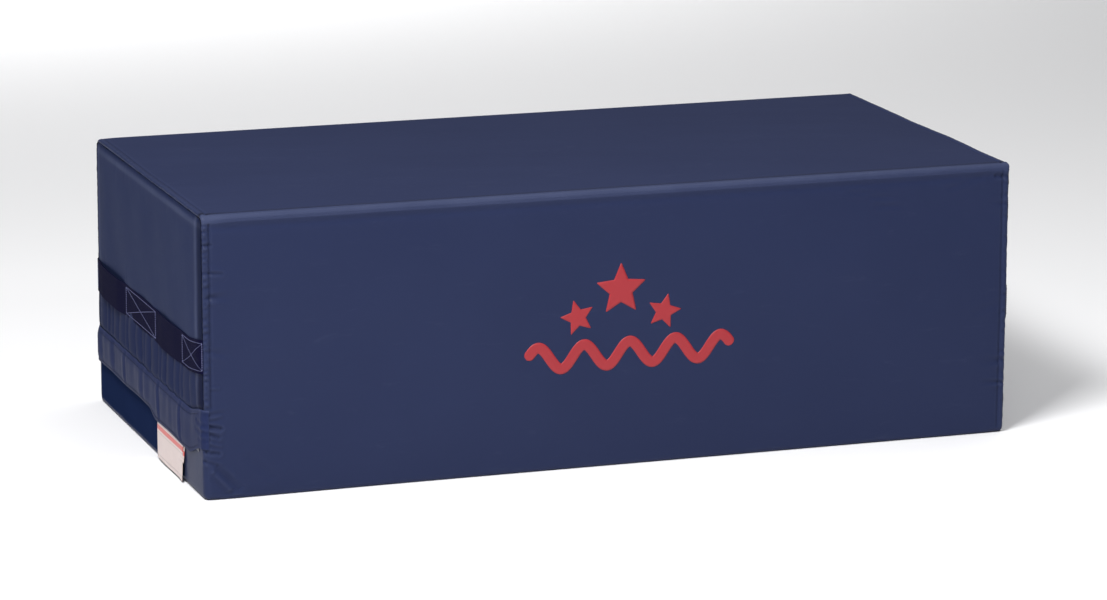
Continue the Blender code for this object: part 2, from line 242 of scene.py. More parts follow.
class Nodes:
    """Short calls for a node tree."""

    def __init__(self, name):
        self.mat = bpy.data.materials.new(name)
        self.mat.use_nodes = True
        self.tree = self.mat.node_tree
        self.bsdf = self.tree.nodes["Principled BSDF"]
        self.uv = self.tree.nodes.new("ShaderNodeUVMap")
        self.uv.uv_map = "UVMap"

    def node(self, kind, **props):
        n = self.tree.nodes.new(kind)
        for k, v in props.items():
            setattr(n, k, v)
        return n

    def link(self, a, b):
        self.tree.links.new(a, b)

    def coords(self, scale=(1, 1, 1), rotation=0.0):
        m = self.node("ShaderNodeMapping")
        m.inputs["Scale"].default_value = scale
        m.inputs["Rotation"].default_value = (0, 0, rotation)
        self.link(self.uv.outputs["UV"], m.inputs["Vector"])
        return m.outputs["Vector"]

    def noise(self, scale, detail=2.0, rough=0.5, stretch=(1, 1, 1), distortion=0.0):
        n = self.node("ShaderNodeTexNoise")
        n.inputs["Scale"].default_value = scale
        n.inputs["Detail"].default_value = detail
        n.inputs["Roughness"].default_value = rough
        n.inputs["Distortion"].default_value = distortion
        self.link(self.coords(stretch), n.inputs["Vector"])
        return n.outputs["Fac"]

    def voronoi(self, scale, feature="F1", stretch=(1, 1, 1)):
        n = self.node("ShaderNodeTexVoronoi", feature=feature)
        n.inputs["Scale"].default_value = scale
        self.link(self.coords(stretch), n.inputs["Vector"])
        return n.outputs["Distance"]

    def wave(self, scale, rotation=0.0, profile="SIN", distortion=0.0):
        n = self.node("ShaderNodeTexWave", wave_type="BANDS", bands_direction="X", wave_profile=profile)
        n.inputs["Scale"].default_value = scale
        n.inputs["Distortion"].default_value = distortion
        self.link(self.coords(rotation=rotation), n.inputs["Vector"])
        return n.outputs["Fac"]

    def math(self, op, a, b=None, clamp=False):
        n = self.node("ShaderNodeMath", operation=op, use_clamp=clamp)
        for i, v in enumerate((a, b)):
            if v is None:
                continue
            if isinstance(v, (int, float)):
                n.inputs[i].default_value = v
            else:
                self.link(v, n.inputs[i])
        return n.outputs[0]

    def ramp(self, fac, stops):
        n = self.node("ShaderNodeValToRGB")
        r = n.color_ramp
        while len(r.elements) < len(stops):
            r.elements.new(0.5)
        for e, (p, c) in zip(r.elements, stops):
            e.position = p
            e.color = c if hasattr(c, "__len__") else (c, c, c, 1)
        self.link(fac, n.inputs["Fac"])
        return n.outputs["Color"]

    def mix(self, fac, a, b, blend="MIX"):
        n = self.node("ShaderNodeMix", data_type="RGBA", blend_type=blend)
        for i, v in ((0, fac), (6, a), (7, b)):
            if isinstance(v, (int, float, tuple)):
                n.inputs[i].default_value = v
            else:
                self.link(v, n.inputs[i])
        return n.outputs[2]

    def bump(self, height, strength, distance, before=None):
        n = self.node("ShaderNodeBump")
        n.inputs["Strength"].default_value = strength
        n.inputs["Distance"].default_value = distance
        self.link(height, n.inputs["Height"])
        if before is not None:
            self.link(before, n.inputs["Normal"])
        return n.outputs["Normal"]

    def range(self, value, lo, hi):
        n = self.node("ShaderNodeMapRange")
        n.inputs["To Min"].default_value = lo
        n.inputs["To Max"].default_value = hi
        self.link(value, n.inputs["Value"])
        return n.outputs["Result"]


def vinyl(name, colour, light, rough=(0.40, 0.52), grain=1.0, specular=0.10, wear_and_ridge_highlight=0.5, rolled=False, gathered=False, front_edge=None):
    """Coated cover fabric: fine leather grain over a woven scrim, soft sheen, slight scuffs and dust; ridges paler from
    wear and a painted highlight, painted shade in creases, and with front_edge or rolled a painted highlight and
    painted shade along the rolled edges and seams.
    """
    n = Nodes(name)
    broad = n.noise(3.2, 3, 0.55)
    mottle = n.noise(38, 4, 0.6)
    tone = n.mix(n.range(broad, 0.0, 0.75), colour, light)
    tone = n.mix(n.range(mottle, 0.0, 0.16), tone, light)
    # dust and light scuffs: long faint streaks
    streak = n.noise(60, 6, 0.7, stretch=(0.22, 1.0, 1.0), distortion=0.6)
    scuffs = n.ramp(streak, [(0.60, 0.0), (0.80, 1.0)])
    tone = n.mix(n.math("MULTIPLY", scuffs, 0.07 * wear_and_ridge_highlight), tone, srgb(150, 158, 182))
    # paler ridges of folds and rolled edges: partly rub wear, partly a painted highlight on their crests
    geo = n.node("ShaderNodeNewGeometry")
    ridge_wear_and_highlight = n.ramp(geo.outputs["Pointiness"], [(0.50, 0.0), (0.60, 1.0)])
    tone = n.mix(n.math("MULTIPLY", ridge_wear_and_highlight, 0.24 * wear_and_ridge_highlight), tone, srgb(120, 128, 158))
    # painted shade: darker in the hollows of creases and folds, where the pointiness is low
    crease_shade = n.ramp(geo.outputs["Pointiness"], [(0.38, 1.0), (0.495, 0.0)])
    tone = n.mix(n.math("MULTIPLY", crease_shade, 0.55), tone, srgb(8, 10, 22))
    if front_edge is not None:
        # the long roll at the front top edge: a painted highlight on its crest, and painted shade in the pull line
        # behind it
        sep = n.node("ShaderNodeSeparateXYZ")
        n.link(n.uv.outputs["UV"], sep.inputs[0])
        f = front_edge
        crest_highlight = n.ramp(sep.outputs["Y"], [(f - 0.0150, 0.0), (f - 0.0095, 1.0), (f - 0.0015, 1.0), (f + 0.0030, 0.0)])
        tone = n.mix(n.math("MULTIPLY", crest_highlight, n.range(n.noise(7, 4, 0.6), 0.02, 0.13)), tone, srgb(140, 150, 184))
        # painted shade along the pull line just behind the roll
        line = n.ramp(sep.outputs["Y"], [(f + 0.0015, 0.0), (f + 0.0035, 1.0), (f + 0.0110, 1.0), (f + 0.0165, 0.0)])
        tone = n.mix(n.math("MULTIPLY", line, n.range(n.noise(5, 3, 0.6), 0.45, 0.85)), tone, srgb(8, 10, 24))
    if rolled:
        # an end panel: a painted highlight along the crest of its rolled edge, painted shade where it dives into the
        # seam, and painted shade on the gathers under the strap
        sep = n.node("ShaderNodeSeparateXYZ")
        n.link(n.uv.outputs["UV"], sep.inputs[0])
        across = n.math("ADD", n.math("ABSOLUTE", sep.outputs["X"]), n.math("MULTIPLY", n.noise(30, 3, 0.6), 0.004))
        crest_highlight = n.ramp(across, [(0.272, 0.0), (0.281, 1.0), (0.284, 1.0), (0.289, 0.0)])
        painted_highlight_amount = n.range(n.noise(9, 4, 0.65), 0.00, 0.17)
        tone = n.mix(n.math("MULTIPLY", crest_highlight, painted_highlight_amount), tone, srgb(150, 158, 186))
        # painted shade where the side rims dive into the seams
        seam_shade = n.ramp(across, [(0.288, 0.0), (0.295, 1.0)])
        # painted highlight along the rolled top rim
        top_rim_highlight = n.ramp(sep.outputs["Y"], [(0.3860, 0.0), (0.3915, 1.0), (0.3935, 1.0), (0.3975, 0.0)])
        tone = n.mix(n.math("MULTIPLY", top_rim_highlight, painted_highlight_amount), tone, srgb(150, 158, 186))
        # painted shade where the top rim dives into its seam
        seam_shade = n.math("MAXIMUM", seam_shade, n.ramp(sep.outputs["Y"], [(0.3975, 0.0), (0.4010, 1.0)]))
        tone = n.mix(n.math("MULTIPLY", seam_shade, 0.60), tone, srgb(10, 12, 28))
        if gathered:
            # painted shade on the gathers between the closure's stitch line and the strap
            low = n.ramp(sep.outputs["Y"], [(0.120, 0.0), (0.126, 1.0), (0.170, 1.0), (0.190, 0.0)])
            tone = n.mix(n.math("MULTIPLY", low, 0.25), tone, srgb(18, 14, 40))
    n.link(tone, n.bsdf.inputs["Base Color"])
    n.link(n.math("ADD", n.range(mottle, rough[0], rough[1]), n.math("MULTIPLY", scuffs, 0.05)), n.bsdf.inputs["Roughness"])
    n.bsdf.inputs["Specular IOR Level"].default_value = specular
    n.bsdf.inputs["Sheen Weight"].default_value = 0.0
    n.bsdf.inputs["Coat Weight"].default_value = 0.0
    cells = n.voronoi(1150, "SMOOTH_F1")
    pores = n.noise(2600, 2, 0.5)
    weave = n.math("ADD", n.wave(420, 0.0), n.wave(420, PI / 2))
    b = n.bump(weave, 0.10 * grain, 0.00006)
    b = n.bump(cells, 0.35 * grain, 0.00010, b)
    b = n.bump(pores, 0.15 * grain, 0.00005, b)
    b = n.bump(n.noise(26, 3, 0.5), 0.35, 0.0007, b)
    n.link(b, n.bsdf.inputs["Normal"])
    return n.mat


def webbing_material(name, colour, light):
    """Heavy woven webbing: herringbone ribs with selvedges, matte with fuzzy highlights."""
    n = Nodes(name)
    sep = n.node("ShaderNodeSeparateXYZ")
    n.link(n.uv.outputs["UV"], sep.inputs[0])
    left = n.wave(250, PI / 4, "TRI")
    right = n.wave(250, -PI / 4, "TRI")
    stripe = n.node("ShaderNodeMath", operation="PINGPONG")
    n.link(sep.outputs["Y"], stripe.inputs[0])
    stripe.inputs[1].default_value = 0.0055
    side = n.math("GREATER_THAN", stripe.outputs[0], 0.00275)
    herring = n.mix(side, left, right)
    yarn = n.math("ADD", n.wave(900, 0.0), n.wave(620, PI / 2))
    fibre = n.noise(3500, 3, 0.6, stretch=(0.35, 1, 1))
    tone = n.mix(n.math("MULTIPLY", herring, 0.55), colour, light)
    tone = n.mix(n.range(n.noise(22, 3), 0.0, 0.25), tone, light)
    n.link(tone, n.bsdf.inputs["Base Color"])
    n.link(n.range(fibre, 0.62, 0.86), n.bsdf.inputs["Roughness"])
    n.bsdf.inputs["Specular IOR Level"].default_value = 0.01
    n.bsdf.inputs["Sheen Weight"].default_value = 0.006
    n.bsdf.inputs["Sheen Roughness"].default_value = 0.45
    b = n.bump(herring, 0.7, 0.00035)
    b = n.bump(yarn, 0.35, 0.00012, b)
    b = n.bump(fibre, 0.25, 0.00008, b)
    n.link(b, n.bsdf.inputs["Normal"])
    return n.mat


def thread_material(name, colour, light):
    n = Nodes(name)
    ply = n.wave(900, 0.7)
    n.link(n.mix(n.math("MULTIPLY", ply, 0.6), colour, light), n.bsdf.inputs["Base Color"])
    n.link(n.range(n.noise(1500, 2), 0.5, 0.75), n.bsdf.inputs["Roughness"])
    n.bsdf.inputs["Sheen Weight"].default_value = 0.02
    n.bsdf.inputs["Specular IOR Level"].default_value = 0.15
    n.link(n.bump(ply, 0.6, 0.0002), n.bsdf.inputs["Normal"])
    return n.mat


def print_material(name, colour, light):
    """Screen printed film: soft semi gloss ink with fine orange peel and a few pinholes."""
    n = Nodes(name)
    mottle = n.noise(90, 4, 0.6)
    tone = n.mix(n.range(mottle, 0.0, 0.30), colour, light)
    pin = n.ramp(n.voronoi(900), [(0.02, 1.0), (0.05, 0.0)])
    tone = n.mix(n.math("MULTIPLY", pin, 0.25), tone, srgb(96, 40, 60))
    n.link(tone, n.bsdf.inputs["Base Color"])
    n.link(n.range(mottle, 0.40, 0.52), n.bsdf.inputs["Roughness"])
    n.bsdf.inputs["Specular IOR Level"].default_value = 0.4
    b = n.bump(n.noise(1300, 3, 0.6), 0.22, 0.00008)
    b = n.bump(n.voronoi(1150, "SMOOTH_F1"), 0.22, 0.00006, b)
    n.link(b, n.bsdf.inputs["Normal"])
    return n.mat


def label_material(name):
    """Satin woven label: white with a red band near its sewn edge and a thin frame line. No lettering."""
    n = Nodes(name)
    sep = n.node("ShaderNodeSeparateXYZ")
    n.link(n.uv.outputs["UV"], sep.inputs[0])
    base = n.mix(n.range(n.noise(45, 4, 0.6), 0.0, 0.5), srgb(216, 198, 193), srgb(190, 171, 167))
    edge = n.noise(400, 2)
    v = n.math("ADD", sep.outputs["Y"], n.math("MULTIPLY", edge, 0.0006))
    band = n.math("MULTIPLY", n.math("GREATER_THAN", v, 0.0085), n.math("LESS_THAN", v, 0.0155))
    base = n.mix(n.math("MULTIPLY", band, 0.94), base, srgb(206, 60, 50))
    rule = n.math("MULTIPLY", n.math("GREATER_THAN", v, 0.0190), n.math("LESS_THAN", v, 0.0198))
    base = n.mix(n.math("MULTIPLY", rule, 0.45), base, srgb(120, 110, 116))
    hem = n.math("MULTIPLY", n.math("GREATER_THAN", v, 0.0512), n.math("LESS_THAN", v, 0.0522))
    base = n.mix(n.math("MULTIPLY", hem, 0.55), base, srgb(150, 132, 130))
    n.link(base, n.bsdf.inputs["Base Color"])
    n.bsdf.inputs["Roughness"].default_value = 0.62
    n.bsdf.inputs["Sheen Weight"].default_value = 0.25
    n.bsdf.inputs["Subsurface Weight"].default_value = 0.0
    weave = n.math("ADD", n.wave(1500, 0.0), n.wave(1500, PI / 2))
    b = n.bump(weave, 0.3, 0.00008)
    b = n.bump(n.noise(60, 3), 0.35, 0.0008, b)
    n.link(b, n.bsdf.inputs["Normal"])
    return n.mat


def foam_material(name):
    n = Nodes(name)
    tex = n.node("ShaderNodeTexCoord")
    cells = n.node("ShaderNodeTexVoronoi")
    cells.inputs["Scale"].default_value = 700
    n.link(tex.outputs["Object"], cells.inputs["Vector"])
    n.link(n.mix(cells.outputs["Distance"], srgb(205, 210, 200), srgb(232, 234, 226)), n.bsdf.inputs["Base Color"])
    n.bsdf.inputs["Roughness"].default_value = 0.95
    n.link(n.bump(cells.outputs["Distance"], 0.8, 0.0006), n.bsdf.inputs["Normal"])
    return n.mat


def tape_material(name, colour, light, hooks):
    """Hook tape has rows of stiff points, loop tape a brushed pile."""
    n = Nodes(name)
    tex = n.node("ShaderNodeTexCoord")
    cells = n.node("ShaderNodeTexVoronoi")
    cells.inputs["Scale"].default_value = 620 if hooks else 950
    cells.inputs["Randomness"].default_value = 0.15 if hooks else 1.0
    n.link(tex.outputs["Object"], cells.inputs["Vector"])
    pile = n.node("ShaderNodeTexNoise")
    pile.inputs["Scale"].default_value = 1400
    pile.inputs["Detail"].default_value = 5
    n.link(tex.outputs["Object"], pile.inputs["Vector"])
    n.link(n.mix(cells.outputs["Distance"], colour, light), n.bsdf.inputs["Base Color"])
    n.bsdf.inputs["Roughness"].default_value = 0.85 if not hooks else 0.6
    n.bsdf.inputs["Sheen Weight"].default_value = 0.1 if hooks else 0.5
    b = n.bump(cells.outputs["Distance"], 0.9, 0.0008)
    b = n.bump(pile.outputs["Fac"], 0.6, 0.0006, b)
    n.link(b, n.bsdf.inputs["Normal"])
    return n.mat


NAVY, NAVY_LIGHT = srgb(33, 41, 71), srgb(42, 50, 81)
M_VINYL = vinyl("navy_vinyl", NAVY, NAVY_LIGHT, front_edge=0.4051)
M_END = vinyl("navy_vinyl_end", srgb(34, 43, 74), srgb(43, 52, 84), rough=(0.48, 0.60), specular=0.015, rolled=True, gathered=True)
M_END_PLAIN = vinyl("navy_vinyl_end_plain", srgb(34, 43, 74), srgb(43, 52, 84), rough=(0.48, 0.60), specular=0.015, rolled=True)
M_FLAP = vinyl("navy_vinyl_flap", srgb(30, 38, 70), srgb(41, 49, 84), rough=(0.44, 0.56), specular=0.035)
# the tucked panel is a darker copy of the navy vinyl: painted shade for the shadow under the flap
M_TUCKED_SHADED = vinyl("navy_vinyl_tucked_shaded", srgb(25, 37, 68), srgb(30, 42, 74), rough=(0.60, 0.70), specular=0.0, wear_and_ridge_highlight=0.1)
# the piping is near black: painted shade for the dark groove along each seam
M_PIPING_SHADED = vinyl("navy_vinyl_piping_shaded", srgb(9, 12, 28), srgb(13, 16, 34), specular=0.03, wear_and_ridge_highlight=0.0)
M_WEB = webbing_material("navy_webbing", srgb(12, 12, 38), srgb(21, 21, 52))
M_THREAD = thread_material("pale_thread", srgb(80, 84, 122), srgb(120, 124, 160))
M_NAVY_THREAD = thread_material("navy_thread", srgb(26, 32, 58), srgb(44, 50, 80))
M_PRINT = print_material("red_print", srgb(156, 37, 45), srgb(170, 50, 58))
M_LABEL = label_material("white_label")
M_LABEL_THREAD = thread_material("label_thread", srgb(178, 170, 172), srgb(222, 216, 214))
M_FOAM = foam_material("foam")
M_HOOK = tape_material("hook_tape", srgb(16, 18, 34), srgb(44, 48, 74), True)
M_LOOP = tape_material("loop_tape", srgb(20, 22, 40), srgb(52, 56, 84), False)


def dress(ob, mat, body=None, replaces=()):
    ob.data.materials.clear()
    ob.data.materials.append(mat)
    if body:
        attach(ob, body)
    if replaces:
        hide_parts(*replaces)
    return ob


# ------------------------------------------------------------------ camera at the photograph's angle
def aim(az, el, roll, dist, cx, cy, height, lens):
    a, e, r = (math.radians(v) for v in (az, el, roll))
    back = Vector((math.sin(a) * math.cos(e), -math.cos(a) * math.cos(e), math.sin(e)))
    right = Vector((math.cos(a), math.sin(a), 0))
    up = back.cross(right)
    right2 = right * math.cos(r) + up * math.sin(r)
    up2 = up * math.cos(r) - right * math.sin(r)
    cam = bpy.data.objects.new("camera", bpy.data.cameras.new("camera"))
    bpy.context.scene.collection.objects.link(cam)
    place = Vector((0, 0, height / 2)) + back * dist * height + right2 * cx * height + up2 * cy * height
    m = Matrix((right2, up2, back)).transposed().to_4x4()
    m.translation = place
    cam.matrix_world = m
    cam.data.lens = lens
    cam.data.sensor_width = 36
    cam.data.clip_start, cam.data.clip_end = 0.1, 100
    bpy.context.scene.camera = cam


aim(-19.255, 12.849, 0.220, 17.135, 0.024, -0.059, HZ, 151.42)

# ------------------------------------------------------------------ the wrapped panel: front, top, back and base
# single folds near the low front corner and along the upright seam: s is x on the front, and carries on round the corner
MARKS = [
    (-0.6180, 0.1085, -0.5900, 0.1020, -0.0026, 0.0030),
    (-0.6150, 0.0985, -0.5930, 0.0900, -0.0019, 0.0028),
    (-0.6200, 0.0960, -0.6080, 0.0880, -0.0019, 0.0032),
    (-0.6100, 0.0690, -0.5930, 0.0665, -0.0018, 0.0028),
    (-0.6240, 0.0800, -0.6090, 0.0740, -0.0009, 0.0030),
    (-0.6010, 0.0400, -0.5790, 0.0160, 0.0019, 0.0046),
    (-0.5930, 0.0440, -0.5660, 0.0150, -0.0018, 0.0052),
    (-0.5660, 0.0300, -0.5550, 0.0100, -0.0006, 0.0060),
    (-0.6090, 0.3255, -0.5860, 0.3235, -0.0015, 0.0026),
    (-0.6090, 0.3650, -0.6000, 0.3648, -0.0009, 0.0020),
    (-0.6090, 0.1620, -0.5920, 0.1600, 0.0009, 0.0026),
    (0.3950, 0.3700, 0.4250, 0.3675, -0.0005, 0.0040),
    (0.4020, 0.3560, 0.4400, 0.3535, -0.0006, 0.0042),
    (0.3600, 0.3790, 0.3860, 0.3770, -0.0005, 0.0036),
    (0.5200, 0.3760, 0.5650, 0.3880, -0.0006, 0.0050),
    (0.5920, 0.3890, 0.6130, 0.3862, -0.0015, 0.0030),
    (0.5650, 0.1880, 0.6120, 0.2000, -0.0005, 0.0060),
    (-0.5500, 0.0560, -0.5200, 0.0300, -0.0008, 0.0070),
    (-0.6120, 0.0560, -0.5960, 0.0500, -0.0014, 0.0026),
    (-0.6080, 0.1180, -0.5890, 0.1200, 0.0012, 0.0026),
    (-0.6070, 0.0830, -0.5900, 0.0775, 0.0012, 0.0026),
]
und_a, und_b = Waves(3, 0.34, stretch=(0.8, 1.2)), Waves(4, 0.115, stretch=(0.8, 1.25))
puck_front_l = Puckers(11, 0.11, 0.392, 0.0092, 0.00190, 0.0095, 0.0026)
puck_front_r = Puckers(12, 0.03, 0.380, 0.0240, 0.00120, 0.0085, 0.0026, long_share=0.25)
puck_top_l = Puckers(13, -0.300, 0.300, 0.0220, 0.00030, 0.010, 0.0036)
puck_top_r = Puckers(14, -0.300, 0.300, 0.0240, 0.00016, 0.010, 0.0032)
puck_back_l = Puckers(15, 0.06, 0.395, 0.0120, 0.00080, 0.0105, 0.0025)
puck_back_r = Puckers(16, 0.02, 0.395, 0.0140, 0.00080, 0.0105, 0.0025)
CORNER_Z = 0.130          # below this the front's fabric runs on round the low left corner
CORNER_R = 0.0100
FACE_IN = 0.6140          # the plane that the folded corner tab lies on


def band(d, groove=0.0014):
    """The allowance that rolls along each end: a soft ridge between the seam and its row of stitches."""
    return 0.00095 * np.sin(PI * np.clip(d / 0.0090, 0, 1)) - groove * np.exp(-((d - 0.0100) / 0.0017) ** 2)


def sag(x, z):
    """The low left corner of the front, where the soft block bellies out."""
    return 0.0046 * np.exp(-((x + 0.62) / 0.21) ** 2) * np.exp(-(z / 0.085) ** 2)


def front_lift(x, z):
    """How far the front stands out from its flat plane."""
    t = np.clip(z / HZ, 0, 1)
    d = X_EDGE - np.abs(x)
    along = np.clip(d / 0.16, 0, 1)
    crown = 0.0016 * np.sin(PI * t) ** 0.8 * (0.35 + 0.65 * smooth(along))
    soft = (0.00050 * und_a(x, z) + 0.00018 * und_b(x, z)) * np.sin(PI * t) ** 0.5
    edge = smooth(z / 0.012) * smooth((HZ - z) / 0.012)
    open_seam = np.where(x < 0, smooth((z - 0.124) / 0.012), 0.75)
    left = puck_front_l(z, x + X_EDGE) * smooth((z - 0.118) / 0.02)
    right = puck_front_r(z, X_EDGE - x)
    up = HZ - z
    roll = 0.0012 * np.exp(-((up - 0.0062) / 0.0052) ** 2) - 0.0010 * np.exp(-((up - 0.0175) / 0.0050) ** 2)
    a = np.clip((-x - (FACE_IN - CORNER_R)) / CORNER_R, 0, 1)
    turned = -CORNER_R * (1 - np.sqrt(1 - a ** 2)) * (1 - smooth((z - 0.118) / 0.014))
    return crown + soft + (band(d) * open_seam + left + right) * edge + roll + turned + sag(x, z) * edge


def wrap_lift(seg, t, x, y, z):
    d = X_EDGE - np.abs(x)
    if seg == "front":
        return front_lift(x, z) + creases(x, z, MARKS)
    if seg == "back":
        tt = np.clip(z / HZ, 0, 1)
        edge = smooth(z / 0.012) * smooth((HZ - z) / 0.012)
        return (0.0017 * np.sin(PI * tt) ** 0.8 + 0.00060 * und_a(x + 2.0, z + 1.0) * np.sin(PI * tt) ** 0.5
                + 0.0002 * und_b(x + 1.0, z) * np.sin(PI * tt) ** 0.5
                + edge * (puck_back_l(z, x + X_EDGE) + puck_back_r(z, X_EDGE - x) + band(d)))
    if seg == "top":
        tt = np.clip((y + HY) / (2 * HY), 0, 1)
        edge = smooth((HY - np.abs(y)) / 0.012)
        near = HY + y
        roll = 0.0008 * np.exp(-((near - 0.0060) / 0.0050) ** 2) - 0.0026 * np.exp(-((near - 0.0140) / 0.0024) ** 2)
        return (0.0010 * np.sin(PI * tt) ** 0.7 * smooth(d / 0.10) + roll * smooth(d / 0.012)
                + (0.00045 * und_a(x - 1.5, y) + 0.00014 * und_b(x - 2.5, y)) * np.sin(PI * tt) ** 0.5
                + edge * (puck_top_l(y, x + X_EDGE) + puck_top_r(y, X_EDGE - x) + band(d, 0.0016)))
    if seg == "base":
        return np.zeros(np.broadcast(x, y).shape)
    return 0.0


def stations():
    """Columns along X, close together near the seams."""
    out, x = [SEAM], SEAM
    while x > 0.0:
        d = SEAM - x
        step = 0.0015 if d < 0.018 else 0.0024 if d < 0.045 else 0.0040 if d < 0.09 else 0.0075
        x -= step
        out.append(max(x, 0.0))
    half = np.array(out[::-1])
    return np.concatenate([-half[:0:-1], half])


XS = stations()


def corner_radii(x):
    near = np.exp(-((SEAM - np.abs(x)) / 0.020) ** 2)
    return TOP_R + 0.0008 + 0.0010 * near + 0.0020 * near * (x < 0), LOW_R + 0.0030 * near


def cross_section():
    """The rows round the section: segment name, place in it, and row count."""
    rows = []
    for seg, n in (("front", 290), ("front_top", 12), ("top", 205), ("top_back", 9), ("back", 105), ("back_base", 7),
                   ("base", 60), ("base_front", 9)):
        near = 32 if seg == "top" else 0         # close rows where the top turns down at the front
        share = 0.032 / (2 * HY)
        for k in range(near):
            rows.append((seg, share * k / near))
        for k in range(n - near):
            rows.append((seg, (share if near else 0.0) + (1 - (share if near else 0.0)) * k / (n - near)))
    return rows


def wrap_point(seg, t, R, L):
    """Place and outward normal in Y and Z on the section, with R the top corners' radius and L the low ones'."""
    zero = np.zeros_like(R)
    if seg == "front":
        return zero - HY, L + t * (HZ - R - L), zero - 1, zero
    if seg == "front_top":
        th = PI - t * PI / 2
        return -HY + R + R * math.cos(th), HZ - R + R * math.sin(th), zero + math.cos(th), zero + math.sin(th)
    if seg == "top":
        return -HY + R + t * (2 * HY - 2 * R), zero + HZ, zero, zero + 1
    if seg == "top_back":
        th = PI / 2 - t * PI / 2
        return HY - R + R * math.cos(th), HZ - R + R * math.sin(th), zero + math.cos(th), zero + math.sin(th)
    if seg == "back":
        return zero + HY, HZ - R - t * (HZ - R - L), zero + 1, zero
    if seg == "back_base":
        th = -t * PI / 2
        return HY - L + L * math.cos(th), L + L * math.sin(th), zero + math.cos(th), zero + math.sin(th)
    if seg == "base":
        return HY - L - t * (2 * HY - 2 * L), zero, zero, zero - 1
    th = -PI / 2 - t * PI / 2
    return -HY + L + L * math.cos(th), L + L * math.sin(th), zero + math.cos(th), zero + math.sin(th)


TUCK_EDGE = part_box("left_corner_tuck")[1].y      # -0.198, the folded tab's inner edge


